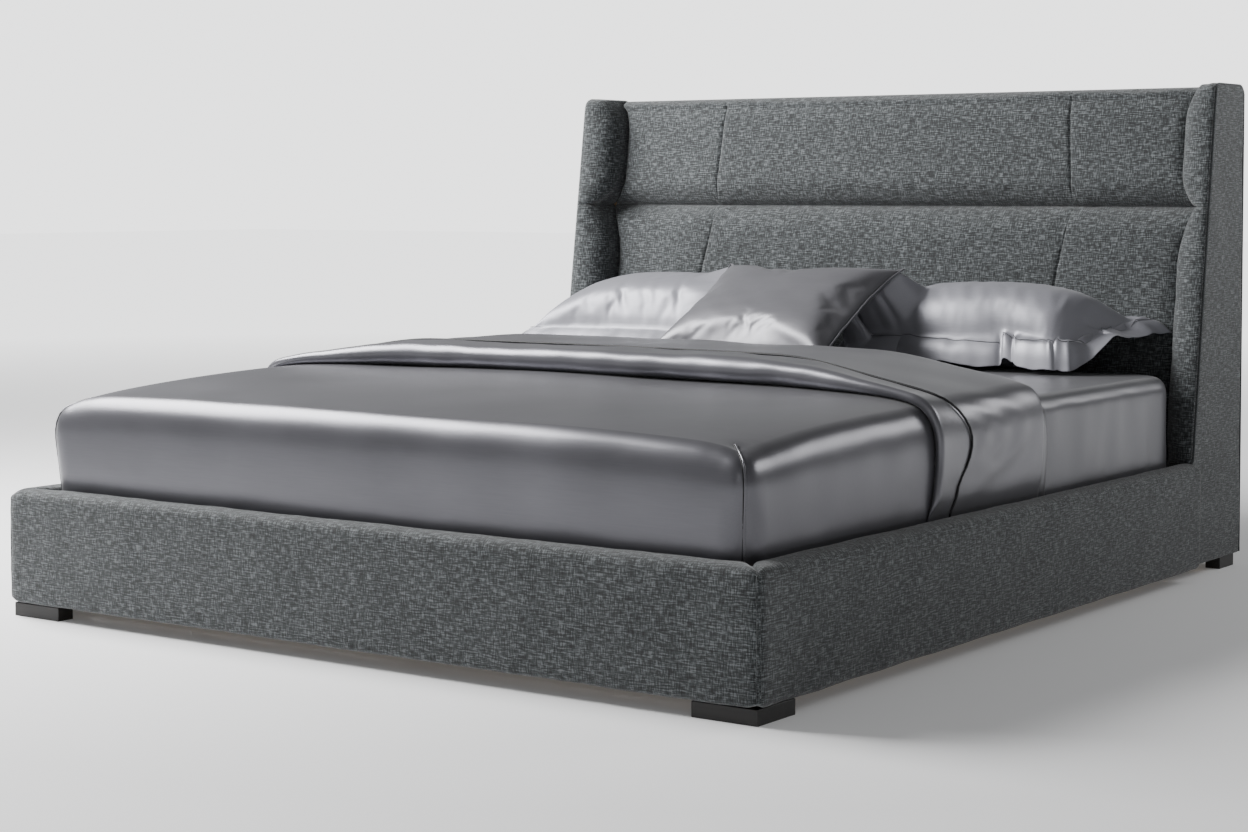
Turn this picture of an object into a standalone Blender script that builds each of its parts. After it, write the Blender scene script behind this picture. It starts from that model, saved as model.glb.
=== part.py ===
"""Upholstered winged headboard bed for a 1.93 x 2.03 m mattress, with its frame and bedding.

Metres, +Z up. The origin is on the floor under the middle of the bed. +X is the side on the sleeper's
left hand when lying on the back, -Y is the foot end and +Y is the back of the headboard.
"""

import math

import bmesh
import bpy
from mathutils import Matrix, Vector

# Driving dimensions
BED_WIDTH = 2.09
BED_LENGTH = 2.44
HEAD_HEIGHT = 1.28
HEAD_WIDTH = 2.03
RAIL_TOP = 0.30
RAIL_BOTTOM = 0.032
RAIL_THICK = 0.065
CORE_THICK = 0.025
MATTRESS_WIDTH = 1.93
MATTRESS_LENGTH = 2.03
MATTRESS_TOP = 0.52
SLAT_TOP = 0.235
SEAM_HEIGHT = 0.957
CLEAR = 0.0003

# Places worked out from them
FOOT_Y = -BED_LENGTH / 2
BACK_Y = BED_LENGTH / 2
RAIL_X = BED_WIDTH / 2
INNER_X = RAIL_X - RAIL_THICK
INNER_FOOT_Y = FOOT_Y + RAIL_THICK
WING_X = HEAD_WIDTH / 2
MATTRESS_X = MATTRESS_WIDTH / 2
MATTRESS_FOOT_Y = INNER_FOOT_Y + 0.012
MATTRESS_HEAD_Y = MATTRESS_FOOT_Y + MATTRESS_LENGTH

# The wing's front edge and the face board share one slope
WING_TOP_DEPTH = 0.20
WING_FOOT_DEPTH = 0.331
WING_TOP_Y = BACK_Y - WING_TOP_DEPTH
WING_LOW_Y = BACK_Y - WING_FOOT_DEPTH
SLOPE = (WING_TOP_Y - WING_LOW_Y) / (HEAD_HEIGHT - RAIL_TOP)
BOARD_SETBACK = 0.15
BOARD_THICK = 0.018
BOARD_BOTTOM = 0.20
BOARD_TOP = 1.262
BACK_COVER_THICK = 0.006
TOP_COVER_THICK = 0.009

CORE_END_GAP = 0.004
CORE_BOTTOM = 0.047
CORE_TOP = 0.275
LEDGER_WIDTH = 0.025
SLAT_THICK = 0.018
SLAT_WIDTH = 0.10
SLAT_COUNT = 11
SLAT_EDGE = 0.003
SLAT_END_GAP = 0.002
FIRST_SLAT_GAP = 0.012
LAST_SLAT_GAP = 0.006
CROSS_RAIL_GAP = 0.002
CROSS_RAIL_END_GAP = 0.001
HANGER_DROP = 0.01
BEAM_WIDTH = 0.06
BEAM_HEIGHT = 0.10
HANGER_WALL = 0.0025
CROSS_RAIL_THICK = 0.025
LEG_SIZE = 0.045
LEG_BOTTOM = 0.022
BRACKET_THICK = 0.003
BOLT_RADIUS = 0.004

COVER_EDGE = 0.014
LOWER_TIER_BOTTOM = 0.201
CUSHION_DEPTH = 0.062
CROWN_POWER = 4
CROWN_FLOOR = 0.25
SEAM_GAP = 0.0015
CUSHION_EDGE = 0.006
PAD_EDGE = 0.012
PAD_GAP = 0.002
WING_CORNER = 0.016
WING_EDGE = 0.003
TOP_RAIL_HEIGHT = 0.06
PAD_THICK = 0.058
PAD_SETBACK = 0.010
STILE_WIDTH = 0.04
FOOT_INSET = 0.01
FOOT_ARM = 0.045
FOOT_FRONT_LENGTH = 0.15
FOOT_SIDE_LENGTH = 0.135
REAR_FOOT_WIDTH = 0.04
REAR_FOOT_LENGTH = 0.095
REAR_FOOT_BACK = 1.205
LEDGER_HEIGHT = 0.04
HANGER_LENGTH = 0.04
LEG_PLACES = (-0.45, 0.25)
STEM_RADIUS = 0.005
STEM_LENGTH = 0.035
GLIDE_RADIUS = 0.02
GLIDE_HEIGHT = 0.008
BRACKET_REACH = 0.063
BRACKET_SPAN = (0.062, 0.162)
PLATE_REACH = 0.07
BOLT_LENGTH = 0.024
BOLT_HEAD_RADIUS = 0.0075
BOLT_HEAD_HEIGHT = 0.005
BOLT_SUNK = 0.001
HOLE_PLAY = 0.0004
CORNER_BOLT_SHARE = 0.65
JOINING_BOLT_SHARE = 0.6
MATTRESS_EDGE = 0.03
SHEET_THICK = 0.0015
SHEET_HEM = 0.26
DUVET_SIDE_THICK = 0.007
DUVET_TOP = 0.560
DUVET_HEAD_Y = MATTRESS_FOOT_Y + 1.235
TUCK_BOTTOM = 0.25
TURNBACK_SIDE_THICK = 0.0022
TURNBACK_FOOT_Y = MATTRESS_FOOT_Y + 0.755
TURNBACK_HEAD_Y = MATTRESS_FOOT_Y + 1.265
TURNBACK_TOP = 0.625
PILLOW_RIM = 0.012
PILLOW_CUTS = 9
PILLOW_OUTLINE_POWER = 2.6
PILLOW_CROWN_POWER = 0.7
PILLOW_WAIST = 0.03

COLLECTION = "upholstered_headboard_bed"

# Colours as linear RGB, then roughness and metallic
FINISHES = {
    "tweed": ((0.12, 0.13, 0.135), 0.95, 0.0),
    "plywood": ((0.52, 0.36, 0.20), 0.6, 0.0),
    "pine": ((0.62, 0.45, 0.26), 0.6, 0.0),
    "wenge": ((0.016, 0.012, 0.010), 0.45, 0.0),
    "steel": ((0.35, 0.36, 0.37), 0.4, 1.0),
    "glide_plastic": ((0.03, 0.03, 0.03), 0.5, 0.0),
    "ticking": ((0.70, 0.70, 0.69), 0.9, 0.0),
    "light_satin": ((0.42, 0.42, 0.45), 0.35, 0.0),
    "grey_satin": ((0.18, 0.18, 0.195), 0.35, 0.0),
    "dark_satin": ((0.15, 0.15, 0.16), 0.35, 0.0),
}


def wing_front(z):
    """Y of the wing's front edge at height z."""
    return WING_LOW_Y + SLOPE * max(z - RAIL_TOP, 0.0)


def board_front(z):
    """Y of the face board's front at height z."""
    return WING_LOW_Y + SLOPE * (z - RAIL_TOP) + BOARD_SETBACK


def board_back(z):
    """Y of the face board's back at height z."""
    return board_front(z) + BOARD_THICK


def clear_scene():
    for item in list(bpy.data.objects):
        bpy.data.objects.remove(item, do_unlink=True)


def new_collection(name):
    made = bpy.data.collections.new(name)
    bpy.context.scene.collection.children.link(made)
    return made


def material(name):
    found = bpy.data.materials.get(name)
    if found:
        return found
    colour, roughness, metallic = FINISHES[name]
    made = bpy.data.materials.new(name)
    made.use_nodes = True
    shader = made.node_tree.nodes["Principled BSDF"]
    shader.inputs["Base Color"].default_value = (*colour, 1.0)
    shader.inputs["Roughness"].default_value = roughness
    shader.inputs["Metallic"].default_value = metallic
    return made


def add_object(name, mesh, finish=None, matrix=None):
    """Links a mesh as one of the bed's objects, or as a cutter when it has no finish."""
    item = bpy.data.objects.new(name, mesh)
    if matrix is not None:
        item.matrix_world = matrix
    if finish:
        mesh.materials.clear()
        mesh.materials.append(material(finish))
        parts.objects.link(item)
    else:
        item.hide_render = True
        item.display_type = "WIRE"
        cutters.objects.link(item)
    return item


def bevel(item, width, segments=2, angle=30.0):
    modifier = item.modifiers.new("Bevel", "BEVEL")
    modifier.width = width
    modifier.segments = segments
    modifier.limit_method = "ANGLE"
    modifier.angle_limit = math.radians(angle)
    return item


def box_mesh(name, low, high):
    low, high = Vector(low), Vector(high)
    shape = bmesh.new()
    bmesh.ops.create_cube(shape, size=1.0)
    bmesh.ops.scale(shape, vec=high - low, verts=shape.verts)
    bmesh.ops.translate(shape, vec=(high + low) / 2, verts=shape.verts)
    mesh = bpy.data.meshes.new(name)
    shape.to_mesh(mesh)
    shape.free()
    return mesh


def box(name, low, high, finish=None, edge=0.0, segments=2):
    """A box between two corners, its edges rounded over edge."""
    item = add_object(name, box_mesh(name, low, high), finish)
    if edge:
        bevel(item, edge, segments)
    return item


def cylinder(name, centre, radius, length, axis="Z", finish=None, sides=16):
    """A cylinder from centre along the positive axis."""
    shape = bmesh.new()
    bmesh.ops.create_cone(shape, cap_ends=True, segments=sides, radius1=radius, radius2=radius, depth=length)
    bmesh.ops.translate(shape, vec=(0, 0, length / 2), verts=shape.verts)
    turns = {"Z": (0, 0, 1), "X": (1, 0, 0), "-X": (-1, 0, 0)}
    turn = Vector(turns[axis]).to_track_quat("Z", "Y").to_matrix().to_4x4()
    bmesh.ops.transform(shape, matrix=Matrix.Translation(centre) @ turn, verts=shape.verts)
    mesh = bpy.data.meshes.new(name)
    shape.to_mesh(mesh)
    shape.free()
    return add_object(name, mesh, finish)


def outline_mesh(name, points, thickness):
    """A flat outline in XY, given a thickness along +Z, as a closed mesh."""
    curve = bpy.data.curves.new(name, "CURVE")
    curve.dimensions = "2D"
    curve.fill_mode = "BOTH"
    curve.extrude = thickness / 2
    line = curve.splines.new("POLY")
    line.points.add(len(points) - 1)
    for point, (x, y) in zip(line.points, points):
        point.co = (x, y, thickness / 2, 1)
    line.use_cyclic_u = True
    holder = bpy.data.objects.new(name + "_outline", curve)
    cutters.objects.link(holder)
    bpy.context.view_layer.update()
    shown = holder.evaluated_get(bpy.context.evaluated_depsgraph_get())
    mesh = bpy.data.meshes.new_from_object(shown)
    bpy.data.objects.remove(holder, do_unlink=True)
    shape = bmesh.new()
    shape.from_mesh(mesh)
    bmesh.ops.remove_doubles(shape, verts=shape.verts, dist=0.00001)
    bmesh.ops.translate(shape, vec=(0, 0, thickness / 2 - middle_z(shape)), verts=shape.verts)
    bmesh.ops.recalc_face_normals(shape, faces=shape.faces)
    shape.to_mesh(mesh)
    shape.free()
    mesh.name = name
    return mesh


def middle_z(shape):
    heights = [v.co.z for v in shape.verts]
    return (min(heights) + max(heights)) / 2


def plate_yz(name, points, x_low, x_high, finish=None, edge=0.0, segments=2):
    """An outline of (y, z) points, filled between two X planes."""
    mesh = outline_mesh(name, points, x_high - x_low)
    # outline x -> world y, outline y -> world z, thickness -> world x
    turn = Matrix(((0, 0, 1, x_low), (1, 0, 0, 0), (0, 1, 0, 0), (0, 0, 0, 1)))
    mesh.transform(turn)
    item = add_object(name, mesh, finish)
    if edge:
        bevel(item, edge, segments)
    return item


def plate_xz(name, points, y_low, y_high, finish=None):
    """An outline of (x, z) points, filled between two Y planes."""
    mesh = outline_mesh(name, points, y_high - y_low)
    turn = Matrix(((-1, 0, 0, 0), (0, 0, 1, y_low), (0, 1, 0, 0), (0, 0, 0, 1)))
    mesh.transform(turn)
    return add_object(name, mesh, finish)


def plate_xy(name, points, z_low, z_high, finish=None, edge=0.0):
    """An outline of (x, y) points, filled between two heights."""
    mesh = outline_mesh(name, points, z_high - z_low)
    mesh.transform(Matrix.Translation((0, 0, z_low)))
    item = add_object(name, mesh, finish)
    if edge:
        bevel(item, edge, 1)
    return item


def cut(item, cutter):
    modifier = item.modifiers.new("Cut", "BOOLEAN")
    modifier.operation = "DIFFERENCE"
    modifier.object = cutter
    return item


def sides():
    """Both sides of the bed, as a name ending and the sign of X."""
    return (("left", -1), ("right", 1))


def ordered(a, b):
    return (a, b) if a < b else (b, a)


def side_box(name, sign, x_in, x_out, y, z, finish=None, edge=0.0, segments=2):
    x_low, x_high = ordered(sign * x_in, sign * x_out)
    return box(name, (x_low, y[0], z[0]), (x_high, y[1], z[1]), finish, edge, segments)


# Rails


def mitred_box(name, low, high, corners, finish, edge):
    """A box cut off at 45 degrees at each foot corner in corners, given as the sign of X and which half it keeps."""
    mesh = box_mesh(name, low, high)
    shape = bmesh.new()
    shape.from_mesh(mesh)
    for sign, keeps_foot in corners:
        across = Vector((sign, 1.0, 0.0)).normalized()
        outward = across if keeps_foot else -across
        point = Vector((sign * RAIL_X, FOOT_Y, 0.0)) - outward * CLEAR / 2
        geometry = shape.verts[:] + shape.edges[:] + shape.faces[:]
        made = bmesh.ops.bisect_plane(
            shape, geom=geometry, plane_co=point, plane_no=outward, clear_outer=True, dist=0.00001
        )
        edges = [e for e in made["geom_cut"] if isinstance(e, bmesh.types.BMEdge)]
        bmesh.ops.edgenet_fill(shape, edges=edges)
    bmesh.ops.recalc_face_normals(shape, faces=shape.faces)
    shape.to_mesh(mesh)
    shape.free()
    item = add_object(name, mesh, finish)
    return bevel(item, edge, 3)


def build_side_rails():
    core_end = WING_LOW_Y - CORE_END_GAP
    for label, sign in sides():
        side_box(
            f"side_rail_core_{label}",
            sign,
            INNER_X,
            INNER_X + CORE_THICK,
            (INNER_FOOT_Y + CLEAR, core_end),
            (CORE_BOTTOM, CORE_TOP),
            "plywood",
        )
        x_low, x_high = ordered(sign * INNER_X, sign * RAIL_X)
        cover = mitred_box(
            f"side_rail_cover_{label}",
            (x_low, FOOT_Y, RAIL_BOTTOM),
            (x_high, WING_LOW_Y - CLEAR, RAIL_TOP),
            [(sign, False)],
            "tweed",
            COVER_EDGE,
        )
        pocket = side_box(
            f"side_pocket_{label}",
            sign,
            INNER_X - COVER_EDGE * 2,
            INNER_X + CORE_THICK + CLEAR,
            (FOOT_Y - COVER_EDGE, WING_LOW_Y + COVER_EDGE),
            (CORE_BOTTOM - CLEAR, CORE_TOP + CLEAR),
        )
        cut(cover, pocket)


def build_foot_rail():
    x_core = INNER_X + CORE_THICK
    y_core = INNER_FOOT_Y - CORE_THICK
    box("foot_rail_core", (-x_core, y_core, CORE_BOTTOM), (x_core, INNER_FOOT_Y, CORE_TOP), "plywood")
    cover = mitred_box(
        "foot_rail_cover",
        (-RAIL_X, FOOT_Y, RAIL_BOTTOM),
        (RAIL_X, INNER_FOOT_Y, RAIL_TOP),
        [(-1, True), (1, True)],
        "tweed",
        COVER_EDGE,
    )
    pocket = box(
        "foot_pocket",
        (-x_core - CLEAR, y_core - CLEAR, CORE_BOTTOM - CLEAR),
        (x_core + CLEAR, INNER_FOOT_Y + COVER_EDGE * 2, CORE_TOP + CLEAR),
    )
    cut(cover, pocket)


def build_feet():
    """Two L-shaped feet under the foot corners and two blocks under the stiles."""
    top = RAIL_BOTTOM - CLEAR
    for label, sign in sides():
        x_out = sign * (RAIL_X - FOOT_INSET)
        y_out = FOOT_Y + FOOT_INSET
        x_arm = x_out - sign * FOOT_ARM
        x_far = x_out - sign * FOOT_FRONT_LENGTH
        y_arm = y_out + FOOT_ARM
        y_far = y_out + FOOT_SIDE_LENGTH
        outline = [(x_out, y_out), (x_out, y_far), (x_arm, y_far), (x_arm, y_arm), (x_far, y_arm), (x_far, y_out)]
        plate_xy(f"front_foot_{label}", outline, 0.0, top, "wenge", 0.001)
        rear_y = (REAR_FOOT_BACK - REAR_FOOT_LENGTH, REAR_FOOT_BACK)
        x_rear = WING_X - FOOT_INSET
        side_box(f"rear_foot_{label}", sign, x_rear - REAR_FOOT_WIDTH, x_rear, rear_y, (0.0, top), "wenge", 0.001, 1)


# Headboard


def build_wing_panels():
    """The tapered side panels, from the floor gap to the top of the headboard."""
    turn = WING_CORNER
    for label, sign in sides():
        front_corner = arc((WING_TOP_Y + turn, HEAD_HEIGHT - turn), turn, 170, 90)
        back_corner = arc((BACK_Y - turn, HEAD_HEIGHT - turn), turn, 90, 0)
        outline = [(BACK_Y, RAIL_BOTTOM), (WING_LOW_Y, RAIL_BOTTOM), (WING_LOW_Y, RAIL_TOP)]
        outline += front_corner + back_corner
        x_low, x_high = ordered(sign * INNER_X, sign * WING_X)
        plate_yz(f"wing_panel_{label}", outline, x_low, x_high, "tweed", WING_EDGE, 1)


def arc(centre, radius, start, end, steps=4):
    points = []
    for i in range(steps + 1):
        angle = math.radians(start + (end - start) * i / steps)
        points.append((centre[0] + radius * math.cos(angle), centre[1] + radius * math.sin(angle)))
    return points


def build_headboard_frame():
    x_board = INNER_X - CLEAR
    x_stile = x_board - STILE_WIDTH
    board = [
        (board_front(BOARD_BOTTOM), BOARD_BOTTOM),
        (board_front(BOARD_TOP), BOARD_TOP),
        (board_back(BOARD_TOP), BOARD_TOP),
        (board_back(BOARD_BOTTOM), BOARD_BOTTOM),
    ]
    plate_yz("headboard_face_board", board, -x_board, x_board, "plywood")
    back = BACK_Y - BACK_COVER_THICK - CLEAR
    stile = [
        (board_back(RAIL_BOTTOM) + CLEAR, RAIL_BOTTOM),
        (board_back(BOARD_TOP) + CLEAR, BOARD_TOP),
        (back, BOARD_TOP),
        (back, RAIL_BOTTOM),
    ]
    for label, sign in sides():
        x_low, x_high = ordered(sign * x_stile, sign * x_board)
        plate_yz(f"headboard_stile_{label}", stile, x_low, x_high, "pine")
    rail_front = board_back(BOARD_TOP) + CLEAR
    x_rail = x_stile - CLEAR
    box("headboard_top_rail", (-x_rail, rail_front, BOARD_TOP - TOP_RAIL_HEIGHT), (x_rail, back, BOARD_TOP), "pine")
    flap = board_front(BOARD_TOP)
    cover = [
        (BACK_Y - BACK_COVER_THICK, RAIL_BOTTOM),
        (BACK_Y - BACK_COVER_THICK, BOARD_TOP + CLEAR),
        (flap, BOARD_TOP + CLEAR),
        (flap, BOARD_TOP + TOP_COVER_THICK),
        (BACK_Y, BOARD_TOP + TOP_COVER_THICK),
        (BACK_Y, RAIL_BOTTOM),
    ]
    plate_yz("headboard_back_cover", cover, -x_board, x_board, "tweed")


def crowned_outline(z_low, z_high, depth, steps=12):
    """Side outline of a tier cushion: flat on the face board, crowned in front."""
    points = [(board_front(z_low) - CLEAR, z_low), (board_front(z_high) - CLEAR, z_high)]
    for i in range(steps + 1):
        t = 1 - i / steps
        z = z_low + (z_high - z_low) * t
        crown = CROWN_FLOOR + (1 - CROWN_FLOOR) * (1 - abs(2 * t - 1) ** CROWN_POWER)
        points.append((board_front(z) - depth * crown, z))
    return points


def build_cushions():
    x_half = INNER_X - PAD_THICK - PAD_GAP
    spans = {"lower": (LOWER_TIER_BOTTOM, SEAM_HEIGHT - SEAM_GAP), "upper": (SEAM_HEIGHT + SEAM_GAP, BOARD_TOP)}
    for tier, (z_low, z_high) in spans.items():
        outline = crowned_outline(z_low, z_high, CUSHION_DEPTH)
        plate_yz(f"headboard_cushion_{tier}", outline, -x_half, x_half, "tweed", CUSHION_EDGE, 2)
        for label, sign in sides():
            pad = [
                (wing_front(z_low) + PAD_SETBACK, z_low),
                (wing_front(z_high) + PAD_SETBACK, z_high),
                (board_front(z_high) - CLEAR, z_high),
                (board_front(z_low) - CLEAR, z_low),
            ]
            x_low, x_high = ordered(sign * (INNER_X - PAD_THICK), sign * (INNER_X - CLEAR))
            plate_yz(f"wing_pad_{tier}_{label}", pad, x_low, x_high, "tweed", PAD_EDGE, 2)


# Base


def build_slat_base():
    ledger_x = INNER_X - CLEAR
    ledger_top = SLAT_TOP - SLAT_THICK - CLEAR
    y_start = INNER_FOOT_Y + CLEAR
    cross_back = WING_LOW_Y - CROSS_RAIL_GAP
    cross_front = cross_back - CROSS_RAIL_THICK
    x_cross = INNER_X - BRACKET_THICK - CROSS_RAIL_END_GAP
    box("head_cross_rail", (-x_cross, cross_front, CORE_BOTTOM), (x_cross, cross_back, ledger_top), "plywood")
    for label, sign in sides():
        side_box(
            f"slat_ledger_{label}",
            sign,
            ledger_x - LEDGER_WIDTH,
            ledger_x,
            (y_start, cross_front - CLEAR),
            (ledger_top - LEDGER_HEIGHT, ledger_top),
            "pine",
        )
    first = INNER_FOOT_Y + FIRST_SLAT_GAP + SLAT_WIDTH / 2
    last = cross_front - LAST_SLAT_GAP - SLAT_WIDTH / 2
    pitch = (last - first) / (SLAT_COUNT - 1)
    for i in range(SLAT_COUNT):
        y = first + pitch * i
        low = (-ledger_x + SLAT_END_GAP, y - SLAT_WIDTH / 2, SLAT_TOP - SLAT_THICK)
        high = (ledger_x - SLAT_END_GAP, y + SLAT_WIDTH / 2, SLAT_TOP)
        box(f"slat_{i + 1:02d}", low, high, "pine", SLAT_EDGE, 1)
    beam = (-BEAM_WIDTH / 2, y_start, ledger_top - BEAM_HEIGHT), (BEAM_WIDTH / 2, cross_front - CLEAR, ledger_top)
    box("centre_beam", *beam, "pine")
    build_beam_hangers(y_start, cross_front, ledger_top)
    build_centre_legs(ledger_top - BEAM_HEIGHT)


def build_beam_hangers(y_start, y_end, beam_top):
    inside = BEAM_WIDTH / 2 + CLEAR
    outside = inside + HANGER_WALL
    floor_in = beam_top - BEAM_HEIGHT - CLEAR
    floor_out = floor_in - HANGER_WALL
    top = beam_top - HANGER_DROP
    saddle = [
        (-outside, floor_out),
        (outside, floor_out),
        (outside, top),
        (inside, top),
        (inside, floor_in),
        (-inside, floor_in),
        (-inside, top),
        (-outside, top),
    ]
    plate_xz("beam_hanger_foot", saddle, y_start, y_start + HANGER_LENGTH, "steel")
    plate_xz("beam_hanger_head", saddle, y_end - CLEAR - HANGER_LENGTH, y_end - CLEAR, "steel")


def build_centre_legs(beam_bottom):
    """Square legs under the beam, each with a screw-in glide. The thread is left plain."""
    half = LEG_SIZE / 2
    for i, y in enumerate(LEG_PLACES, start=1):
        top = beam_bottom - CLEAR
        leg = box(f"centre_leg_{i}", (-half, y - half, LEG_BOTTOM), (half, y + half, top), "pine")
        hole = cylinder(f"leg_hole_{i}", (0, y, LEG_BOTTOM - 0.01), STEM_RADIUS + HOLE_PLAY, STEM_LENGTH + 0.03)
        cut(leg, hole)
        build_glide(i, y)


def build_glide(i, y):
    """A disc foot and its stem, turned as one piece. Its origin is on its axis."""
    profile = [
        (0.0, GLIDE_HEIGHT + STEM_LENGTH),
        (STEM_RADIUS, GLIDE_HEIGHT + STEM_LENGTH),
        (STEM_RADIUS, GLIDE_HEIGHT),
        (GLIDE_RADIUS, GLIDE_HEIGHT),
        (GLIDE_RADIUS, 0.0),
        (0.0, 0.0),
    ]
    mesh = bpy.data.meshes.new(f"levelling_glide_{i}")
    edges = [(k, k + 1) for k in range(len(profile) - 1)]
    mesh.from_pydata([(r, 0.0, z) for r, z in profile], edges, [])
    item = add_object(f"levelling_glide_{i}", mesh, "glide_plastic", Matrix.Translation((0, y, 0)))
    turn = item.modifiers.new("Screw", "SCREW")
    turn.steps = 16
    turn.render_steps = 16
    turn.use_merge_vertices = True
    turn.merge_threshold = 0.00001


def build_corner_fittings():
    """Angle brackets at the foot corners and joining plates at the wings, with one bolt in each."""
    x_face = INNER_X - CLEAR
    y_face = INNER_FOOT_Y + CLEAR
    for label, sign in sides():
        x_out = sign * x_face
        x_thin = sign * (x_face - BRACKET_THICK)
        x_far = sign * (x_face - BRACKET_REACH)
        y_thin = y_face + BRACKET_THICK
        y_far = y_face + BRACKET_REACH
        outline = [(x_out, y_face), (x_out, y_far), (x_thin, y_far), (x_thin, y_thin), (x_far, y_thin), (x_far, y_face)]
        bracket = plate_xy(f"corner_bracket_{label}", outline, *BRACKET_SPAN, "steel")
        bolt_y = y_face + BRACKET_REACH * CORNER_BOLT_SHARE
        fit_bolt(f"corner_bolt_{label}", sign, bolt_y, bracket)
        x_low, x_high = ordered(x_thin, x_out)
        plate_y = WING_LOW_Y - PLATE_REACH, WING_LOW_Y + PLATE_REACH
        plate = box(
            f"joining_plate_{label}",
            (x_low, plate_y[0], BRACKET_SPAN[0]),
            (x_high, plate_y[1], BRACKET_SPAN[1]),
            "steel",
        )
        fit_bolt(f"joining_bolt_{label}", sign, WING_LOW_Y - PLATE_REACH * JOINING_BOLT_SHARE, plate)


def fit_bolt(name, sign, y, plate):
    """A hexagon-head bolt through a plate into the rail core, with its holes."""
    z = sum(BRACKET_SPAN) / 2
    axis = "X" if sign > 0 else "-X"
    head_start = sign * (INNER_X - CLEAR - BRACKET_THICK - CLEAR)
    shank = cylinder(name, (head_start - sign * BOLT_SUNK, y, z), BOLT_RADIUS, BOLT_LENGTH, axis, "steel", 12)
    head_base = (head_start - sign * BOLT_HEAD_HEIGHT, y, z)
    head = cylinder(f"{name}_head", head_base, BOLT_HEAD_RADIUS, BOLT_HEAD_HEIGHT, axis, None, 6)
    union = shank.modifiers.new("Head", "BOOLEAN")
    union.operation = "UNION"
    union.object = head
    hole_base = (head_start - sign * BOLT_SUNK, y, z)
    hole = cylinder(f"{name}_hole", hole_base, BOLT_RADIUS + HOLE_PLAY, BOLT_LENGTH + 0.002, axis, None, 12)
    cut(plate, hole)
    cut(bpy.data.objects[f"side_rail_core_{name.rsplit('_', 1)[1]}"], hole)


# Bedding


def build_mattress():
    low = (-MATTRESS_X, MATTRESS_FOOT_Y, SLAT_TOP + CLEAR)
    high = (MATTRESS_X, MATTRESS_HEAD_Y, MATTRESS_TOP)
    box("mattress", low, high, "ticking", MATTRESS_EDGE, 3)
    build_fitted_sheet(low, high)


def build_fitted_sheet(low, high):
    """A cloth skin over the mattress, open below."""
    shape = bmesh.new()
    shape.from_mesh(box_mesh("sheet_form", low, high))
    upright = [e for e in shape.edges if max(v.co.z for v in e.verts) > MATTRESS_TOP - CLEAR]
    standing = [e for e in shape.edges if abs(e.verts[0].co.z - e.verts[1].co.z) > CLEAR]
    edges = list(set(upright + standing))
    bmesh.ops.bevel(shape, geom=edges, offset=MATTRESS_EDGE, segments=3, profile=0.5, affect="EDGES")
    floor = [f for f in shape.faces if all(v.co.z < SLAT_TOP + 0.001 for v in f.verts)]
    bmesh.ops.delete(shape, geom=floor, context="FACES")
    for vert in shape.verts:
        if vert.co.z < SLAT_TOP + 0.001:
            vert.co.z = SHEET_HEM
    mesh = bpy.data.meshes.new("fitted_sheet")
    shape.to_mesh(mesh)
    shape.free()
    item = add_object("fitted_sheet", mesh, "light_satin")
    skin = item.modifiers.new("Solidify", "SOLIDIFY")
    skin.thickness = SHEET_THICK
    skin.offset = 1.0
    for vert in mesh.vertices:
        vert.co += vert.normal * (CLEAR * 2)


def tray(name, half_width, y_low, y_high, bottom, top, edge, finish):
    """A rounded block of cloth, from which what it lies on is cut."""
    return box(name, (-half_width, y_low, bottom), (half_width, y_high, top), finish, edge, 3)


def build_duvet():
    sheet_gap = SHEET_THICK + CLEAR * 4
    duvet_foot = MATTRESS_FOOT_Y - sheet_gap - DUVET_SIDE_THICK
    half_width = MATTRESS_X + sheet_gap + DUVET_SIDE_THICK
    duvet = tray("duvet", half_width, duvet_foot, DUVET_HEAD_Y, TUCK_BOTTOM, DUVET_TOP, MATTRESS_EDGE, "grey_satin")
    form = box(
        "bed_form",
        (-MATTRESS_X - sheet_gap, MATTRESS_FOOT_Y - sheet_gap, 0.0),
        (MATTRESS_X + sheet_gap, MATTRESS_HEAD_Y + sheet_gap, MATTRESS_TOP + sheet_gap),
        None,
        MATTRESS_EDGE,
        3,
    )
    cut(duvet, form)
    turnback = tray(
        "duvet_turnback",
        half_width + TURNBACK_SIDE_THICK + CLEAR,
        TURNBACK_FOOT_Y,
        TURNBACK_HEAD_Y,
        TUCK_BOTTOM,
        TURNBACK_TOP,
        MATTRESS_EDGE,
        "light_satin",
    )
    duvet_form = box(
        "duvet_form",
        (-half_width - CLEAR, duvet_foot - CLEAR, TUCK_BOTTOM - 0.1),
        (half_width + CLEAR, DUVET_HEAD_Y + CLEAR, DUVET_TOP + CLEAR),
        None,
        MATTRESS_EDGE,
        3,
    )
    cut(turnback, duvet_form)
    cut(turnback, form)


def pillow(name, centre, width, height, thickness, tilt, finish):
    """A filled cushion with a thin rim all round, its thickness crowned in the middle."""
    shape = bmesh.new()
    bmesh.ops.create_cube(shape, size=2.0)
    bmesh.ops.subdivide_edges(shape, edges=shape.edges[:], cuts=PILLOW_CUTS, use_grid_fill=True)
    for vert in shape.verts:
        a, b, c = vert.co
        swell = (1 - abs(a) ** PILLOW_OUTLINE_POWER) * (1 - abs(b) ** PILLOW_OUTLINE_POWER)
        pull = 1 - PILLOW_WAIST * (1 - a * a) * abs(b) ** 3
        squeeze = 1 - PILLOW_WAIST * (1 - b * b) * abs(a) ** 3
        half = PILLOW_RIM / 2 + (thickness - PILLOW_RIM) / 2 * max(swell, 0.0) ** PILLOW_CROWN_POWER
        vert.co = (a * width / 2 * squeeze, b * height / 2 * pull, c * half)
    mesh = bpy.data.meshes.new(name)
    shape.to_mesh(mesh)
    shape.free()
    turn = Matrix.Rotation(math.radians(tilt), 4, "X")
    return add_object(name, mesh, finish, Matrix.Translation(centre) @ turn)


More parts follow.
